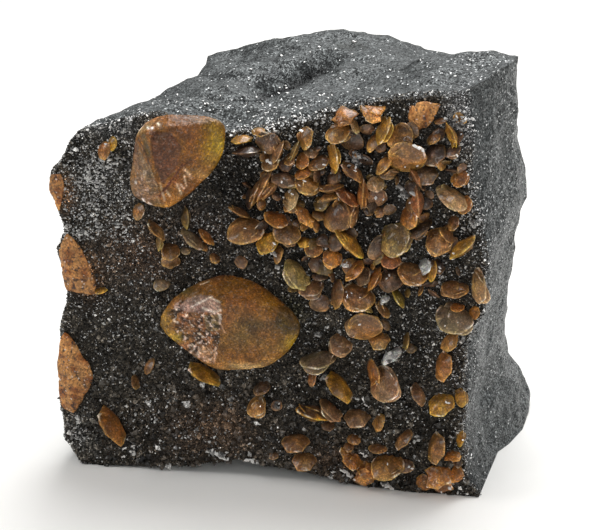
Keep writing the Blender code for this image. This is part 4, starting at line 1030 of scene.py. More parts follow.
# The white crystals of the crust are partly white grains and partly painted glints
CRUST_WHITE = "#e6e4e0"
WHITE_LEVELS = (0.1, 1.05)          # brightness of the white ones, before it is raised to a power
WHITE_POWER = 2.2
WHITE_GRAINS = 0.6                  # share of white points in the crystals over that of white crystals
BRIGHTER_LUMPS = [(0.9, 1.5, 101), (0.9, 0.6, 102)]
WHITER_LUMPS = [(1.0, 1.6, 103), (1.0, 0.7, 105)]
WHITE_SHARE = 0.06                  # of the crystals are white, and more round the patches
WHITE_LOW = ((8, 18), (0.35, 1))    # heights, and by how much that share is less there
# Patches of white ones: x, z, half width, half height, share
WHITE_PATCHES = [
    (-22.5, 37.0, 3.5, 3.5, 0.24), (-22.0, 32.0, 4.0, 3.5, 0.2), (-25.5, 29.5, 2.0, 1.5, 0.35),
    (-26.0, 4.5, 2.0, 2.5, 0.15), (-13.0, 6.0, 5.0, 4.0, 0.03), (-9.0, 30.5, 4.0, 2.0, 0.08),
    (19.6, 45.0, 1.3, 3.5, 0.3), (21.0, 33.0, 1.0, 4.0, 0.1), (17.5, 20.0, 2.5, 4.0, 0.05),
    (-22.0, 20.0, 3.0, 2.0, 0.05), (-5.5, 42.3, 2.5, 1.0, 0.12), (-1.0, 43.2, 2.5, 1.0, 0.14),
    (3.5, 44.6, 3.0, 1.0, 0.14), (-19.5, 42.4, 3.0, 0.8, 0.2), (22.3, 26.0, 1.0, 4.0, 0.08),
    (20.8, 8.0, 1.0, 6.0, 0.12)]
# Sheets of the crust: a corner in the cube, its two sides, their rough lengths in mm, and how much
# larger the share of white ones is there
CRUST_SHEETS = [
    ((0, 0, 0), (0.5, 0, 0), (0, 0, 1), 24.2, 45.0, 0.0),
    ((0.5, 0, 0), (0.5, 0, 0), (0, 0, 1), 24.2, 45.0, 0.0),
    ((0, 0, 1), (1, 0, 0), (0, 0.05, 0), 46.0, 1.2, 0.15),
    ((0, 0, 0), (0, 0.1, 0), (0, 0, 1), 2.4, 42.0, 0.05),
    ((1, 0, 0), (0, 0.04, 0), (0, 0, 1), 1.0, 48.0, 0.2)]
# Sheets of coarser crystals, among the fine ones: a sheet as above, their spacing and half lengths in mm
COARSE_SHEETS = [
    (((0, 0, 0), (1, 0, 0), (0, 0, 0.3), 48.4, 13.5, 0.0), 0.62, (0.25, 0.62)),
    (((0, 0, 0.3), (0.5, 0, 0), (0, 0, 0.7), 23.0, 31.0, 0.0), 0.8, (0.2, 0.45)),
    (((0.5, 0, 0.3), (0.5, 0, 0), (0, 0, 0.7), 23.0, 31.0, 0.0), 1.0, (0.2, 0.4))]
OCTAHEDRON = np.array([(1, 0, 0), (-1, 0, 0), (0, 1, 0), (0, -1, 0), (0, 0, 1), (0, 0, -1)], float)
OCTAHEDRON_FACES = np.array([(0, 2, 4), (2, 1, 4), (1, 3, 4), (3, 0, 4),
                             (2, 0, 5), (1, 2, 5), (3, 1, 5), (0, 3, 5)])


def turns(count, rng):
    """Random 3 by 3 turns, one for each crystal, from random unit quaternions."""
    q = rng.normal(size=(count, 4))
    w, x, y, z = (q / np.linalg.norm(q, axis=1)[:, None]).T
    return np.array([[1 - 2 * (y * y + z * z), 2 * (x * y - w * z), 2 * (x * z + w * y)],
                     [2 * (x * y + w * z), 1 - 2 * (x * x + z * z), 2 * (y * z - w * x)],
                     [2 * (x * z - w * y), 2 * (y * z + w * x), 1 - 2 * (x * x + y * y)]]).transpose(2, 0, 1)


def white_share(x, z):
    """Share of white crystals in the crust at a place of the front."""
    return WHITE_SHARE * np.interp(z, *WHITE_LOW) + sum(
        more * bump(px, pz, half_width, half_height, x, z)
        for px, pz, half_width, half_height, more in WHITE_PATCHES)


def crust_tint(place, contrast, more_white, rng):
    """Colours of the crust's crystals: the front's own, with its painted shade, as dark or as bright as
    chance of the given contrast and two sets of lumps make it, with grey to white ones between, the
    white ones partly painted glints."""
    level = contrast * rng.normal(size=len(place)) + relief(place, BRIGHTER_LUMPS)
    tint = front_tint(place) * np.clip(np.exp(level), *CRUST_LIMITS)[:, None]
    share = more_white + white_share(place[:, 0], place[:, 2])
    white = rng.uniform(size=len(place)) < share * (1 + relief(place, WHITER_LUMPS))
    tint[white] = linear(CRUST_WHITE) * rng.uniform(*WHITE_LEVELS, (white.sum(), 1)) ** WHITE_POWER
    return np.column_stack([tint, WHITE_GRAINS * share])


def octahedra(centres, sizes, rng):
    """Octahedra at the centres: points of each, its axes scaled by its three sizes and turned at random,
    none below the lowest level, and their faces."""
    points = np.einsum("nij,nkj->nki", turns(len(centres), rng), OCTAHEDRON * sizes[:, None])
    points += centres[:, None]
    points[..., 2] = np.maximum(points[..., 2], LOWEST)
    return points.reshape(-1, 3), copies(OCTAHEDRON_FACES, len(centres), 6)


def crust_sheet(name, sheet, spacing, sizes, contrast, material, rng):
    """One sheet of the crust: octahedra, one for each cell of a grid over the face and moved about in
    it, with half lengths from the commonest to the rarest given one."""
    corner, across, upwards, width, height, more_white = sheet
    columns, rows = round(width / spacing), max(2, round(height / spacing))
    s, t = np.meshgrid(np.arange(columns), np.arange(rows), indexing="ij")
    s = (s.ravel() + rng.uniform(0, 1, s.size)) / columns
    t = (t.ravel() + rng.uniform(0, 1, t.size)) / rows
    centres = ore_place(np.array(corner, float) + np.outer(s, across) + np.outer(t, upwards))
    size = sizes[0] + (sizes[1] - sizes[0]) * rng.uniform(0, 1, len(s)) ** RARITY
    points, faces = octahedra(centres, size[:, None] * rng.uniform(*CRUST_STRETCH, (len(s), 3)), rng)
    tint = np.repeat(crust_tint(centres, contrast, more_white, rng), 6, axis=0)
    new_piece(name, points, faces, material, tint)


def make_crust(fine, coarse):
    """The crust: sheets of fine crystals, and coarser ones among them, the largest low down."""
    rng = np.random.default_rng(5)
    for number, sheet in enumerate(CRUST_SHEETS):
        crust_sheet(f"crust_{number + 1}", sheet, CRUST_SPACING, CRUST_SIZES, CRUST_CONTRAST, fine, rng)
    for number, (sheet, spacing, sizes) in enumerate(COARSE_SHEETS):
        crust_sheet(f"coarse_crust_{number + 1}", sheet, spacing, sizes, COARSE_CONTRAST, coarse, rng)


# The crystals

FILLERS = 130                       # small crystals, half hidden between the others
FILLER_TRIES = 1400                 # places tried for them
# The dark finishes among the fillers are partly painted shade between the crowded crystals
FILLER_SHADED_FINISHES = {"dark": 0.35, "brown": 0.25, "plum": 0.2, "olive": 0.1, "amber": 0.1}    # shares of them
FILLER_AREA = [(-5.0, 42.0), (19.5, 46.5), (20.5, 26.0), (9.0, 21.0), (4.0, 26.0), (-5.0, 30.0)]


def filler_rows():
    """Rows of small crystals at random places in the crowded part of the front, most of them dark or brown,
    their darkness partly painted shade.
    """
    rng = np.random.default_rng(17)
    x, z = rng.uniform(-7, 21, FILLER_TRIES), rng.uniform(9, 47, FILLER_TRIES)
    kept = np.flatnonzero(within(FILLER_AREA, 1.0, x, z) > 0.5)[:FILLERS]
    words = rng.choice(list(FILLER_SHADED_FINISHES), FILLERS, p=list(FILLER_SHADED_FINISHES.values()))
    sizes, leans, ways = (rng.uniform(*ends, FILLERS) for ends in ((0.5, 1.0), (15, 80), (0, 360)))
    return list(zip(x[kept], z[kept], sizes, leans, ways, words))


def make_small_crystals(tree, material):
    """Each cluster or single crystal in place of its solid, those on the ore, and the fillers."""
    fine, plain = lens_template(18, (0.5, 0.86, 0.95, 1.0)), lens_template(12, (0.6, 0.9, 1.0))
    for node, rows in SMALL_CRYSTALS.items():
        points, faces, tint, coarse = lenses(tree, rows, fine)
        new_piece(node + "_lenses", points, faces, material, tint, True, [node], coarse)
    for name, rows, plates in (("crystals_on_ore", CRYSTALS_ON_ORE, PLATES),
                               ("crystals_between", filler_rows(), PLATES[:2])):
        points, faces, tint, coarse = lenses(tree, rows, plain, plates)
        new_piece(name, points, faces, material, tint, True, coarse=coarse)


# Looks of the large crystals, as the camera sees them. crisp: the way that the flat left face looks. pits:
# depth in mm. areas: outlines in x and z, clockwise, each with its colour, strength and how broken it is.
# patches, streaks: as in patched and streaked; the pale and white streaks are painted highlights and
# # glints on edges and ridges. clear: x, z, half width, half height and how clear.
LARGE_LOOKS = {
    "large_crystal_lower": {
        "body": "#7c5422", "crisp": (-0.5, -0.85, 0.05), "pits": 0.3,
        "areas": [
            ([(-13.7, 20.6), (-12.2, 22.2), (-10.1, 22.9), (-8.6, 23.0), (-7.5, 22.3), (-7.3, 20.8),
             (-7.5, 18.3), (-7.9, 16.0), (-8.2, 14.7), (-9.3, 14.7), (-11.4, 15.8), (-12.3, 17.2),
             (-13.3, 18.7)],
             "#684428", 0.9, 1.0),
            # partly the smooth plate's own colour, partly a painted sheen of reflected light
            ([(-12.5, 21.2), (-11.6, 22.2), (-10.1, 22.9), (-8.6, 23.0), (-7.4, 22.1), (-7.4, 21.2),
             (-8.5, 20.8), (-10.1, 20.8), (-11.6, 20.6)],
             "#8c7068", 0.9, 0.2),
            ([(-9.4, 20.5), (-7.6, 20.8), (-7.7, 18.8), (-9.2, 18.5)],
             "#70664a", 0.7, 0.6),
            ([(-10.4, 16.3), (-9.4, 16.8), (-8.0, 16.1), (-8.3, 14.6), (-9.6, 14.6)],
             "#a88060", 0.8, 0.5),
            ([(-0.8, 22.0), (0.3, 22.5), (1.5, 21.7), (2.2, 20.3), (2.3, 18.8), (1.3, 18.5), (-0.1, 18.9),
             (-1.1, 20.0)],
             "#443a1c", 0.65, 0.0)],
        "patches": [
            (-14.2, 19.3, 0.9, 2.2, "#94701f", 0.85), (-12.9, 17.4, 1.0, 0.7, "#a89030", 0.9),
            (-14.5, 19.8, 0.5, 0.8, "#b0842c", 0.8), (-12.3, 16.3, 0.8, 0.5, "#b8805c", 0.7),
            (-12.3, 23.3, 2.2, 0.8, "#4a4420", 0.9), (-8.0, 25.2, 1.8, 0.8, "#5c3822", 0.85),
            (-3.5, 24.4, 1.9, 0.8, "#6e4824", 0.6), (-5.0, 21.7, 1.8, 1.1, "#86562a", 0.7),
            (-1.8, 22.7, 1.1, 1.2, "#8c6420", 0.7), (-6.4, 20.9, 0.9, 1.6, "#85552e", 0.6),
            (-3.2, 19.7, 2.8, 0.8, "#54452a", 0.85), (-5.0, 18.2, 1.8, 1.2, "#6e5a30", 0.8),
            (-0.1, 20.6, 1.1, 1.1, "#443a1c", 0.5), (1.0, 17.7, 1.0, 0.8, "#c8a01c", 0.97),
            (-1.5, 17.1, 1.8, 0.9, "#80602c", 0.6), (-4.1, 14.4, 3.3, 0.5, "#e0bc80", 0.95),
            (-0.9, 15.3, 1.5, 0.5, "#b08c54", 0.8), (-7.4, 14.7, 1.0, 0.9, "#946830", 0.8),
            (0.2, 16.4, 1.0, 0.7, "#987430", 0.7)],
        "streaks": [
            (-14.6, 17.8, -12.6, 16.2, 0.11, "#e2cdb4", 0.9),
            (-12.6, 16.2, -10.3, 14.7, 0.11, "#e8d6c6", 0.9),
            (-10.2, 14.6, -8.2, 13.4, 0.10, "#b89070", 0.7),
            (-8.0, 13.4, -4.1, 13.7, 0.10, "#d0b080", 0.7), (-4.1, 13.7, 0.0, 15.5, 0.10, "#d0b080", 0.7),
            (-9.5, 21.4, -8.1, 21.0, 0.15, "#f0e4dc", 1.0), (-8.1, 21.0, -7.4, 21.4, 0.13, "#e8d4c8", 0.9),
            (-10.2, 21.8, -8.8, 22.7, 0.10, "#dccdca", 0.9),
            (-8.8, 22.8, -7.5, 22.3, 0.10, "#e6d4c4", 0.9),
            (-10.9, 21.4, -10.0, 22.0, 0.11, "#e4d8d4", 0.9),
            (-10.0, 21.3, -9.4, 20.9, 0.10, "#5a4840", 0.8),
            (-8.7, 22.1, -7.6, 21.6, 0.10, "#6a5850", 0.8),
            (-11.4, 22.1, -10.5, 21.6, 0.09, "#6e5e58", 0.7),
            (-8.1, 16.6, -8.3, 14.7, 0.11, "#d0aa8c", 0.8), (-9.9, 24.1, -8.9, 24.6, 0.08, "#c8b098", 0.9),
            (-12.9, 22.7, -12.5, 23.3, 0.09, "#d8d0c0", 0.9),
            (-7.6, 20.8, -7.4, 20.3, 0.13, "#f4ece4", 0.9), (-7.4, 19.6, -7.0, 18.7, 0.09, "#c89c78", 0.8),
            (-11.5, 19.7, -10.5, 19.1, 0.13, "#3a241a", 0.8),
            (-10.4, 18.2, -9.1, 17.7, 0.15, "#38241a", 0.8),
            (-12.5, 19.3, -11.8, 19.0, 0.11, "#44281c", 0.8)],
        "clear": [(-14.2, 19.3, 1.0, 2.2, 0.3), (1.0, 17.7, 0.9, 0.8, 0.5), (-4.1, 14.4, 3.3, 0.5, 0.2)]},
    "large_crystal_upper": {
        "body": "#7e5420", "crisp": (-0.75, -0.65, -0.1), "pits": 0.1,
        "areas": [
            ([(-18.2, 39.4), (-17.3, 40.7), (-16.9, 40.8), (-15.9, 39.1), (-15.1, 36.5), (-14.4, 35.1),
             (-14.6, 33.0), (-16.0, 32.9), (-17.3, 33.3), (-18.5, 34.9), (-18.4, 37.9)],
             "#7c6248", 0.9, 0.1),
            ([(-17.6, 37.1), (-15.7, 37.4), (-14.7, 35.1), (-15.1, 33.2), (-17.3, 33.4)],
             "#745a3e", 0.6, 0.45),
            ([(-17.2, 41.6), (-16.1, 43.2), (-14.9, 44.2), (-13.9, 44.0), (-15.7, 42.2), (-17.1, 41.2)],
             "#ac8a62", 0.85, 0.0),
            ([(-17.1, 41.2), (-15.7, 42.2), (-15.5, 39.8), (-15.0, 37.7), (-14.4, 35.4), (-15.1, 36.5),
             (-15.9, 39.1), (-16.6, 39.8)],
             "#5e4c2a", 0.85, 0.0),
            ([(-15.4, 41.9), (-13.1, 41.8), (-11.9, 40.3), (-12.4, 38.1), (-14.1, 35.9), (-14.9, 37.7),
             (-15.3, 39.8)],
             "#5a3a2c", 0.8, 0.0)],
        "patches": [
            (-17.8, 40.2, 0.5, 0.9, "#6c4c4c", 0.85), (-17.7, 36.4, 0.6, 0.7, "#a8743c", 0.7),
            (-18.0, 34.7, 0.5, 0.8, "#94784c", 0.6), (-13.8, 43.3, 1.8, 0.8, "#80501e", 0.9),
            (-10.5, 43.5, 2.3, 0.8, "#6a4826", 0.85), (-12.1, 42.6, 1.5, 1.1, "#784c2c", 0.7),
            (-10.9, 41.7, 1.3, 1.1, "#805030", 0.5), (-15.1, 42.7, 0.5, 0.4, "#5c4030", 0.6),
            (-8.1, 40.6, 1.4, 1.6, "#c49a18", 0.97), (-8.0, 42.7, 0.9, 1.1, "#94792f", 0.85),
            (-7.5, 40.8, 0.4, 0.7, "#d0b03c", 0.9), (-8.7, 39.0, 1.1, 0.8, "#9c7c28", 0.8),
            (-10.6, 38.6, 1.8, 1.1, "#7e4e22", 0.6), (-9.6, 37.2, 0.9, 0.5, "#bc9454", 0.85),
            (-13.4, 34.3, 1.6, 1.1, "#a06c30", 0.85), (-11.7, 35.1, 1.0, 1.1, "#946232", 0.7),
            (-13.9, 33.3, 1.5, 0.4, "#b88a44", 0.7)],
        "streaks": [
            (-17.2, 41.7, -16.1, 43.2, 0.14, "#f4ecde", 1.0),
            (-16.1, 43.2, -14.9, 44.1, 0.11, "#e4d0b4", 0.9),
            (-14.9, 44.1, -13.8, 44.0, 0.10, "#c8a074", 0.8),
            (-17.0, 41.0, -15.9, 39.2, 0.11, "#44321f", 0.85),
            (-15.9, 39.2, -15.1, 36.5, 0.11, "#4c3824", 0.85),
            (-15.1, 36.5, -14.4, 35.1, 0.10, "#5a4430", 0.7),
            (-15.6, 37.9, -14.8, 35.5, 0.08, "#b09470", 0.7),
            (-14.6, 34.4, -13.4, 35.9, 0.14, "#46190f", 0.95),
            (-13.4, 35.9, -12.4, 37.4, 0.13, "#562414", 0.9),
            (-12.4, 37.4, -11.9, 38.3, 0.11, "#46200f", 0.9),
            (-11.9, 38.1, -10.9, 38.8, 0.11, "#5c2c16", 0.7),
            (-13.6, 36.9, -12.4, 37.9, 0.10, "#6e3a22", 0.6),
            (-12.9, 36.0, -12.1, 37.2, 0.11, "#602c1a", 0.8),
            (-11.6, 37.7, -11.1, 37.1, 0.19, "#d8b492", 0.95),
            (-11.1, 37.1, -11.0, 36.7, 0.16, "#d0a484", 0.95),
            (-11.7, 37.0, -11.5, 35.8, 0.11, "#dcc0a0", 0.95),
            (-12.5, 35.9, -12.1, 34.9, 0.13, "#e6ccae", 0.95),
            (-12.1, 35.9, -11.8, 35.5, 0.11, "#ecd2b8", 0.95),
            (-14.2, 34.8, -14.0, 34.0, 0.11, "#e0c6a6", 0.95),
            (-13.7, 35.1, -13.4, 34.5, 0.11, "#e4c8a8", 0.95),
            (-14.4, 35.9, -14.3, 35.2, 0.11, "#ccac7c", 0.9),
            (-14.8, 34.2, -14.6, 33.6, 0.10, "#bc9c74", 0.8),
            (-16.6, 33.9, -16.5, 33.5, 0.15, "#ffffff", 1.0),
            (-15.9, 33.5, -15.4, 32.9, 0.14, "#fbf4ee", 1.0),
            (-15.8, 42.3, -15.7, 42.2, 0.14, "#ffffff", 1.0),
            (-15.3, 42.2, -15.2, 42.2, 0.15, "#ffffff", 1.0),
            (-14.6, 42.8, -14.5, 42.7, 0.13, "#f4ece0", 1.0),
            (-17.4, 35.9, -17.4, 35.8, 0.13, "#ffffff", 1.0),
            (-15.2, 43.1, -14.7, 43.5, 0.10, "#c89064", 0.8)],
        "clear": [(-8.1, 40.7, 1.1, 1.9, 0.4)]}
}
LARGE_CLEAR = 0.1                   # how clear their bodies are
AREA_SOFTNESS = 0.25                # the width of an area's soft edge
# Lumps of the large crystals, of their broken faces, and of the painted glints there
LARGE_LUMPS = [(0.06, 1.1, 81), (0.04, 0.45, 82)]
PIT_LUMPS = [(1.0, 0.5, 83), (0.5, 0.25, 84)]
PAINTED_GLINT_LUMPS = [(4.0, 0.32, 85)]
PAINTED_GLINT_FROM = 1.3                  # height of those lumps from which a place glitters
PAINTED_GLINT_COLOUR = "#ffe8dc"
PIT_FROM = -0.15                    # height of the pit lumps from which the surface sinks
PIT_DARKNESS = 2.2                  # what a pit takes off the brightness, over its lumps' height
PIT_LIMITS = (-1.2, 0.9)            # and the least and the most of it
LARGE_SPECKLE = 0.16                # spread of the logarithm of their brightness
LARGE_CELLS = (90, 48, 90)          # faces of the solid across, deep and high
LARGE_SHARPNESS = 15
LARGE_SWELL = 1.06
BROKEN_CELLS = (40, 20, 40)
BROKEN_SHARPNESS = 12
BROKEN_COLOUR = "#b07c44"
BROKEN_SHADES = [(0.3, 1.8, 93), (0.25, 0.6, 94)]
BROKEN_SWELLS = [(0.16, 1.3, 91)]
BROKEN_PITS = (0.55, 92)            # size and seed of the lumps that the pits are
BROKEN_PIT_DEPTH = 0.3
BROKEN_PIT_FROM = 0.1               # height of those lumps from which the surface sinks


def make_large_crystals(material):
    """The two large crystals: rounded solids with one face cut off flat, small lumps all over, and pits
    in the broken face, in which the surface sinks and darkens where a set of fine lumps is high. Other
    lumps of the broken face are painted pale pink as glints."""
    rng = np.random.default_rng(41)
    for node, look in LARGE_LOOKS.items():
        crisp = np.array(look["crisp"]) / np.linalg.norm(look["crisp"])
        place, faces, way = soft_solid(on_front(LARGE_CRYSTALS[node]), LARGE_CELLS, LARGE_SHARPNESS, crisp,
                                       LARGE_SWELL)
        x, z = as_seen(place)
        tint, coarse = plain_tint(look["body"], len(place)), np.zeros(len(place))
        for outline, colour, strength, broken in look["areas"]:
            cover = strength * within(outline, AREA_SOFTNESS, x, z)
            tint = covered(tint, colour, cover)
            coarse += cover * (broken - coarse)
        tint = patched(tint, look["patches"], x, z)
        pits = relief(place, PIT_LUMPS)
        tint *= (1 - coarse * np.clip(PIT_DARKNESS * pits, *PIT_LIMITS))[:, None]
        tint *= np.exp(LARGE_SPECKLE * rng.normal(size=len(place)))[:, None]
        tint = np.clip(streaked(tint, look["streaks"], x, z), 0, 1)
        glint = np.clip(relief(place, PAINTED_GLINT_LUMPS) - PAINTED_GLINT_FROM, 0, 0.95)
        tint = covered(tint, PAINTED_GLINT_COLOUR, coarse * (glint * rng.uniform(0.6, 1.0, len(place))))
        clear = np.full(len(place), LARGE_CLEAR)
        for px, pz, half_width, half_height, strength in look["clear"]:
            clear = np.maximum(clear, strength * bump(px, pz, half_width, half_height, x, z))
        sink = relief(place, LARGE_LUMPS) - coarse * look["pits"] * np.clip(pits - PIT_FROM, 0, 1)
        place += way * sink[:, None]
        new_piece(node + "_crystal", place, faces.tolist(), material,
                  np.column_stack([tint, clear]), True, [node], coarse)
        GROWN.append((place, faces.tolist()))


def make_broken_crystals(material):
    """The broken crystals: rounded solids, lumpy, with pits where fine lumps are high."""
    for node, corners in BROKEN_CRYSTALS.items():
        place, faces, way = soft_solid(on_front(corners), BROKEN_CELLS, BROKEN_SHARPNESS)
        tint = plain_tint(BROKEN_COLOUR, len(place)) * (1 + relief(place, BROKEN_SHADES))[:, None]
        sink = BROKEN_PIT_DEPTH * np.clip(lumps(place, *BROKEN_PITS) - BROKEN_PIT_FROM, 0, 1)
        place += way * (relief(place, BROKEN_SWELLS) - sink)[:, None]
        new_piece(node + "_pitted", place, faces.tolist(), material,
                  np.column_stack([tint, np.zeros(len(place))]), True, [node])


# Colourless grains: their half lengths over those in the tables below, in groups and as single ones
GROUP_SIZE = 0.55
SINGLE_SIZE = 0.7
# Least and most of a grain's three half lengths over its own, and how far it is tilted and pushed askew
GRAIN_SHAPES = ((0.7, 0.5, 0.3), (1.5, 0.9, 0.6))
GRAIN_TILT = 0.1
GRAIN_SKEW = 0.35
GRAIN_AND_GLINT_WHITE = "#f8f6f2"
GRAIN_PROUD = 0.1                   # a placed grain stands out by this, on the front by half its size more
LOOSE_PROUD = 0.2                   # the same for a loose one
# Groups of them: x, z, how far they spread, half their number, and their half length
GRAIN_GROUPS = [
    (7.8, 40.0, 0.7, 26, 0.32), (13.3, 36.3, 0.7, 12, 0.4), (3.9, 18.9, 0.4, 5, 0.3),
    (-1.6, 28.3, 0.4, 5, 0.3), (21.0, 19.5, 0.6, 8, 0.35), (22.2, 20.2, 0.4, 6, 0.3),
    (-9.0, 3.0, 0.4, 6, 0.35), (-7.5, 2.7, 0.5, 8, 0.35), (-4.0, 1.9, 0.7, 7, 0.3),
    (5.8, 0.9, 0.3, 4, 0.35), (7.6, 1.2, 0.4, 5, 0.35), (12.3, 0.9, 0.4, 5, 0.35),
    (15.9, 6.9, 0.2, 3, 0.3), (10.0, 4.4, 0.4, 8, 0.25), (-0.7, 9.7, 0.3, 5, 0.25),
    (-6.5, 9.9, 0.3, 3, 0.25), (-13.7, 9.3, 0.4, 4, 0.25), (-16.0, 7.0, 0.8, 7, 0.25),
    (-18.5, 2.5, 0.9, 10, 0.25), (-25.5, 3.9, 0.9, 14, 0.28), (-22.0, 36.0, 2.0, 40, 0.22),
    (19.5, 45.0, 1.0, 20, 0.25), (21.5, 33.3, 0.6, 10, 0.3), (12.0, 16.8, 0.5, 4, 0.5)]
# Single bright grains, painted glints one by one: x, z and half length
GLINTS = [
    (8.7, 20.6, 0.16), (-1.3, 29.6, 0.16), (12.0, 26.7, 0.19), (11.7, 26.3, 0.12), (7.1, 24.4, 0.16),
    (7.2, 23.8, 0.16), (7.7, 24.3, 0.12), (0.4, 35.9, 0.25), (0.7, 35.6, 0.15), (10.2, 35.7, 0.25),
    (11.1, 35.6, 0.16), (13.8, 36.0, 0.25), (14.1, 35.4, 0.16), (0.9, 39.0, 0.15), (1.7, 43.0, 0.23),
    (-2.2, 39.3, 0.25), (-1.9, 39.1, 0.19), (-2.5, 40.3, 0.16), (14.9, 41.7, 0.35), (15.3, 41.5, 0.35),
    (14.4, 41.9, 0.28), (17.7, 28.0, 0.20), (17.7, 27.6, 0.20), (17.8, 27.1, 0.17), (4.3, 39.2, 0.16),
    (2.1, 37.2, 0.16), (-0.5, 36.9, 0.16), (7.8, 38.7, 0.16), (8.6, 45.0, 0.12), (7.4, 37.6, 0.16),
    (6.0, 35.3, 0.12), (-4.7, 31.2, 0.12), (3.9, 34.1, 0.12), (17.4, 38.5, 0.16), (18.1, 34.1, 0.23),
    (18.8, 37.9, 0.12), (20.5, 39.0, 0.15), (19.1, 29.8, 0.17), (19.2, 29.2, 0.17), (6.9, 27.5, 0.15),
    (7.1, 27.9, 0.15), (20.7, 28.2, 0.20), (11.6, 23.6, 0.20), (11.2, 23.2, 0.17), (19.2, 41.1, 0.15),
    (21.4, 37.6, 0.15), (14.8, 39.7, 0.20), (13.4, 39.5, 0.15), (-0.6, 9.9, 0.17), (-18.1, 6.9, 0.16),
    (-13.3, 10.3, 0.16), (-7.5, 9.1, 0.16), (-19.7, 2.4, 0.17), (-18.6, 2.8, 0.17), (-12.0, 4.6, 0.17),
    (-8.5, 4.8, 0.17), (-8.2, 5.9, 0.15), (-22.4, 8.5, 0.16), (17.7, 42.9, 0.19), (19.1, 41.2, 0.16),
    (7.3, 1.9, 0.33), (7.8, 1.5, 0.38), (8.2, 1.3, 0.30), (8.6, 1.0, 0.20), (12.0, 0.6, 0.30),
    (12.5, 0.5, 0.42), (12.9, 0.3, 0.30), (5.9, 1.6, 0.20), (6.1, 1.7, 0.17), (6.2, 3.1, 0.17),
    (19.8, 1.0, 0.23), (20.3, 1.4, 0.23), (19.5, 0.0, 0.23), (18.9, 0.4, 0.17), (15.6, 6.3, 0.25),
    (16.1, 6.5, 0.25), (9.9, 4.2, 0.30), (9.5, 4.4, 0.23), (10.3, 4.1, 0.20), (12.0, 4.7, 0.16),
    (12.4, 3.5, 0.16), (15.0, 3.2, 0.19), (15.4, 3.0, 0.15), (19.0, 11.8, 0.20), (19.3, 11.7, 0.17),
    (14.7, 8.8, 0.19), (12.3, 10.5, 0.19), (9.5, 10.9, 0.20), (9.7, 10.5, 0.17), (8.5, 11.2, 0.16),
    (11.3, 9.5, 0.15), (10.8, 9.6, 0.15), (15.3, 10.0, 0.15), (15.4, 9.4, 0.15), (15.9, 9.3, 0.15),
    (16.2, 4.0, 0.17), (20.6, 8.0, 0.16), (20.3, 8.5, 0.16), (-8.7, 3.1, 0.25), (-8.2, 2.8, 0.33),
    (-7.8, 2.5, 0.35), (-7.3, 2.3, 0.33), (-6.8, 2.2, 0.25), (-4.4, 2.3, 0.30), (-3.8, 2.2, 0.30),
    (-3.2, 2.1, 0.23), (-7.4, 9.1, 0.20), (-18.8, 2.1, 0.23), (-18.4, 1.7, 0.20), (-19.6, 1.4, 0.19),
    (-16.1, 6.6, 0.20), (-16.7, 5.6, 0.17), (-15.8, 6.2, 0.16), (-25.4, 5.9, 0.23), (-26.5, 4.1, 0.19),
    (21.1, 7.3, 0.15), (20.9, 0.3, 0.19), (22.0, 0.3, 0.19), (22.5, 5.0, 0.15), (22.4, 4.6, 0.15),
    (10.1, 10.3, 0.15)]
LOOSE_GRAINS = 2400                 # small ones all over the front, most where the crust is whitest
LOOSE_TRIES = 60000                 # places tried for them
LOOSE_SIZES = (0.05, 0.12)          # their half lengths, from the commonest to the rarest
LOOSE_LUMPS = [(1.0, 1.4, 104), (1.0, 0.6, 106)]
# Single bright grains of the top, painted glints, as the camera sees them: x, z and half length
TOP_GLINTS = [
    (-1.1, 48.6, 0.15), (-0.4, 48.9, 0.19), (-0.3, 48.6, 0.16), (-1.2, 47.9, 0.16), (-0.1, 47.7, 0.14),
    (-3.7, 47.0, 0.14), (-3.0, 46.2, 0.16), (-2.1, 46.0, 0.15), (-1.0, 52.9, 0.19), (-4.8, 49.3, 0.12),
    (-4.6, 50.7, 0.12), (3.6, 54.3, 0.19), (4.2, 47.7, 0.17), (4.7, 47.2, 0.14), (3.7, 47.5, 0.14),
    (4.4, 46.8, 0.12), (5.1, 47.6, 0.15), (5.6, 54.1, 0.12), (6.6, 50.9, 0.12), (6.7, 49.5, 0.12),
    (8.2, 48.5, 0.14), (6.1, 50.0, 0.11), (7.9, 55.3, 0.20), (2.5, 53.5, 0.12), (1.8, 52.1, 0.11),
    (6.1, 52.6, 0.12), (7.6, 53.5, 0.12), (0.9, 45.9, 0.14), (1.4, 46.2, 0.12), (3.3, 45.3, 0.16),
    (4.4, 45.6, 0.16), (-2.9, 44.4, 0.15), (-2.2, 44.3, 0.14), (-3.9, 44.5, 0.12), (-4.6, 45.1, 0.12),
    (-5.5, 43.9, 0.14), (-4.9, 43.3, 0.15), (2.1, 46.4, 0.12), (12.7, 47.8, 0.15), (9.7, 48.6, 0.12),
    (12.0, 51.3, 0.12), (15.4, 52.5, 0.14), (18.2, 54.7, 0.14), (11.0, 54.1, 0.12), (-8.0, 46.9, 0.12),
    (-9.7, 45.8, 0.14), (-7.2, 48.2, 0.12), (21.0, 52.7, 0.12), (19.1, 50.5, 0.14)]
TOP_REACH = 60.0                    # how far a line of sight is followed to meet the top
MIRROR = (0.23, -0.33, 0.91)        # a face that looks this way mirrors the light above towards the camera
CUBE = np.array(list(itertools.product((-1, 1), repeat=3)), float)
CUBE_FACES = np.array([(0, 1, 3, 2), (4, 6, 7, 5), (0, 4, 5, 1), (2, 3, 7, 6), (0, 2, 6, 4), (1, 5, 7, 3)])


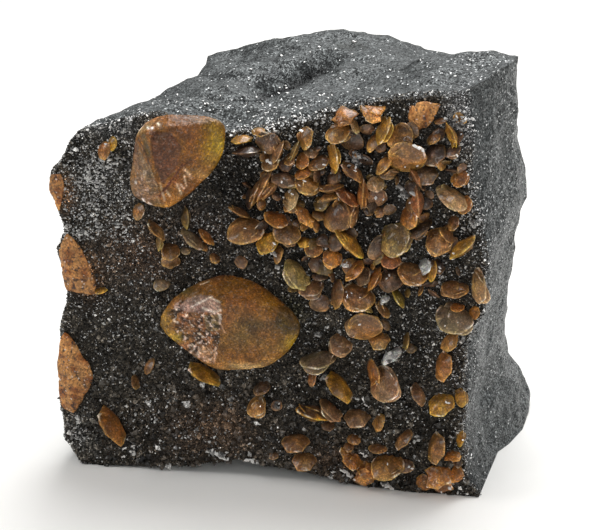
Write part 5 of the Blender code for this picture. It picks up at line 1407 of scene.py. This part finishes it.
def rhombs(centres, sizes, rng):
    """Cleavage rhombs at the centres: cubes pushed askew, flattened, with one face near the mirror's way
    and turned round it at random. Points of each, none below the lowest level, and their faces."""
    up = np.array(MIRROR) + GRAIN_TILT * rng.normal(size=(len(centres), 3))
    up /= np.linalg.norm(up, axis=1)[:, None]
    side = np.cross(up, rng.normal(size=(len(centres), 3)))
    side /= np.linalg.norm(side, axis=1)[:, None]
    frame_of = np.stack([side, np.cross(up, side), up], axis=1) * sizes[:, :, None]
    shape = CUBE + GRAIN_SKEW * CUBE[:, 1:2] * (1, 0, 0)
    points = np.einsum("pk,nkj->npj", shape, frame_of) + centres[:, None]
    points[..., 2] = np.maximum(points[..., 2], LOWEST)
    return points.reshape(-1, 3), copies(CUBE_FACES, len(centres), 8)


def joined_tree(pieces):
    """One tree of the faces of several pieces, each given as points and faces."""
    points, faces, first = [], [], 0
    for place, corners in pieces:
        points += place.tolist()
        faces += [[first + k for k in face] for face in corners]
        first = len(points)
    return BVHTree.FromPolygons(points, faces)


def loose_grains(rng):
    """Rows of x, z, half length and whiteness for small grains at random places of the front, kept by
    chance where the crust is white."""
    x, z = rng.uniform(-27, 23, LOOSE_TRIES), rng.uniform(0.5, 47, LOOSE_TRIES)
    bunched = white_share(x, z) ** 1.3 * (1 + relief(np.stack([x, 0 * x, z], axis=1), LOOSE_LUMPS))
    kept = np.flatnonzero(rng.uniform(0, 0.5, len(x)) < bunched)[:LOOSE_GRAINS]
    x, z = x[kept], z[kept]
    small = LOOSE_SIZES[0] + (LOOSE_SIZES[1] - LOOSE_SIZES[0]) * rng.uniform(size=len(kept)) ** RARITY
    return list(zip(x, z, small * (1 + 2 * white_share(x, z)), rng.uniform(0.1, 1.0, len(kept))))


def make_grains(ore, material):
    """Colourless grains: groups of them, single white ones as painted glints on the ore, on the crystals
    and on the top, and small loose ones on the ore alone."""
    rng = np.random.default_rng(29)
    rows = [(x + dx, z + dz, GROUP_SIZE * size * rng.uniform(0.5, 1.2), rng.uniform(0.1, 1) ** 2)
            for x, z, spread, count, size in GRAIN_GROUPS
            for dx, dz in rng.normal(0, spread * 0.6, (2 * count, 2))]
    rows += [(x, z, SINGLE_SIZE * size, 1.0) for x, z, size in GLINTS]
    loose = loose_grains(rng)
    grown, on_ore = joined_tree([ore] + GROWN), joined_tree([ore])
    stood = [(on_face(grown, x, z, GRAIN_PROUD + size / 2), size, white) for x, z, size, white in rows]
    stood += [(on_face(on_ore, x, z, GRAIN_PROUD, TOP_REACH), SINGLE_SIZE * size, 1.0)
              for x, z, size in TOP_GLINTS]
    stood += [(on_face(on_ore, x, z, LOOSE_PROUD), size, white) for x, z, size, white in loose]
    stood = [row for row in stood if row[0] is not None]
    centres, sizes, whites = (np.array(column) for column in zip(*stood))
    shape = sizes[:, None] * rng.uniform(*GRAIN_SHAPES, (len(sizes), 3))
    points, faces = rhombs(centres, shape, rng)
    tint = np.column_stack([linear(GRAIN_AND_GLINT_WHITE) * whites[:, None], np.zeros(len(sizes))])
    new_piece("colourless_grains_and_glints", points, faces, material, np.repeat(tint, 8, axis=0))


# Floor, light and camera

CAMERA_AZIMUTH, CAMERA_ELEVATION = math.radians(10), math.radians(22)
CAMERA_DISTANCE = 240.0
PIXELS_PER_MM = 8.0                 # at the place that the camera looks at
IMAGE_SIZE = (600, 530)
LOOKED_AT = (-4.6, 4.0, 17.2)
LOOKED_AT_PIXEL = (272, 290)
FLOOR_HALF = 1500.0
AMBIENT = 0.15                      # strength of the white surrounding as a light
# Soft lights, and small ones for the sparkle: name, place and size in mm, power in watts
LIGHTS = [
    ("soft_overhead", (40, 150, 310), 260, 1.55),
    ("soft_right", (250, -60, 170), 120, 0.08),
    ("soft_left", (-250, -60, 200), 160, 0.36),
    ("spark_left", (-90, -140, 330), 10, 0.06),
    ("spark_right", (150, -120, 300), 10, 0.06)]
RING_LIGHTS = 12                    # small lights in a ring round the lens, as on a close-up camera
RING_RADIUS = 45.0
RING_DISTANCE = 225.0
RING_SIZE = 17.0
RING_POWER = 0.008
LIT_PLACE = (0, 0, 22)              # the middle of the specimen, which every light faces


def camera_axes():
    """The camera's own directions: back from the place looked at, to its right, and up."""
    a, e = CAMERA_AZIMUTH, CAMERA_ELEVATION
    back = Vector((math.sin(a) * math.cos(e), -math.cos(a) * math.cos(e), math.sin(e)))
    right = Vector((math.cos(a), math.sin(a), 0.0))
    return back, right, back.cross(right)


def make_camera():
    """The camera on a sphere round the place looked at, then moved in its own plane so that the place
    falls on its pixel."""
    back, right, up = camera_axes()
    aside = (IMAGE_SIZE[0] / 2 - LOOKED_AT_PIXEL[0]) / PIXELS_PER_MM
    above = (LOOKED_AT_PIXEL[1] - IMAGE_SIZE[1] / 2) / PIXELS_PER_MM
    data = bpy.data.cameras.new("camera")
    data.sensor_width = 36.0
    data.lens = PIXELS_PER_MM * CAMERA_DISTANCE * data.sensor_width / IMAGE_SIZE[0]
    data.clip_start = 0.01
    camera = bpy.data.objects.new("camera", data)
    camera.location = (Vector(LOOKED_AT) + back * CAMERA_DISTANCE + right * aside + up * above) * MM
    camera.rotation_euler = back.to_track_quat("Z", "Y").to_euler()
    bpy.context.scene.collection.objects.link(camera)
    bpy.context.scene.camera = camera


def make_light(name, place, size, power):
    """A square soft light that faces the middle of the specimen; place and size in mm, power in watts."""
    data = bpy.data.lights.new(name, "AREA")
    data.size = size * MM
    data.energy = power
    light = bpy.data.objects.new(name, data)
    light.location = Vector(place) * MM
    light.rotation_euler = (Vector(place) - Vector(LIT_PLACE)).to_track_quat("Z", "Y").to_euler()
    bpy.context.scene.collection.objects.link(light)


def make_floor():
    """A pale floor just under the specimen."""
    floor = bpy.data.meshes.new("floor")
    half = FLOOR_HALF * MM
    corners = [(-half, -half, 0), (half, -half, 0), (half, half, 0), (-half, half, 0)]
    floor.from_pydata(corners, [], [(0, 1, 2, 3)])
    # Smooth white paper: matt, with hardly any shine
    paper = new_material("white_paper", {"Base Color": opaque("#f4f3f0"), "Roughness": 0.9,
                                         "Specular IOR Level": 0.1})[0]
    floor.materials.append(paper)
    ground = bpy.data.objects.new("floor", floor)
    ground.location.z = -0.01 * MM
    bpy.context.scene.collection.objects.link(ground)


def make_stage():
    """The floor under a white surrounding, lit softly from above and behind, with small lights for the
    sparkle. What the camera sees behind the specimen is white; what lights it is dimmer."""
    make_floor()
    world = bpy.data.worlds.new("white surrounding")
    world.use_nodes = True
    tree = world.node_tree
    seen = add_node(tree, "Background", {"Color": (1, 1, 1, 1), "Strength": 1.0})[0]
    lighting = add_node(tree, "Background", {"Color": (1, 1, 1, 1), "Strength": AMBIENT})[0]
    camera_ray = add_node(tree, "LightPath")["Is Camera Ray"]
    both = add_node(tree, "MixShader", (camera_ray, lighting, seen))[0]
    set_inputs(tree, tree.nodes["World Output"], {"Surface": both})
    bpy.context.scene.world = world
    for light in LIGHTS:
        make_light(*light)
    back, right, up = camera_axes()
    for k in range(RING_LIGHTS):
        turn = 2 * math.pi * k / RING_LIGHTS
        aside = RING_RADIUS * (math.cos(turn) * right + math.sin(turn) * up)
        place = Vector(LOOKED_AT) + RING_DISTANCE * back + aside
        make_light(f"ring_{k + 1}", place, RING_SIZE, RING_POWER)
    bpy.context.scene.view_settings.view_transform = "Standard"
    bpy.context.scene.view_settings.look = "None"


def build():
    """The whole specimen, its stage and its camera."""
    ore = make_ore(manganese_ore())
    make_crust(fine_crust(), coarse_crust())
    make_small_crystals(joined_tree([ore]), small_sturmanite())
    make_large_crystals(large_sturmanite())
    make_broken_crystals(broken_sturmanite())
    make_grains(ore, colourless_grain())
    make_stage()
    make_camera()


build()
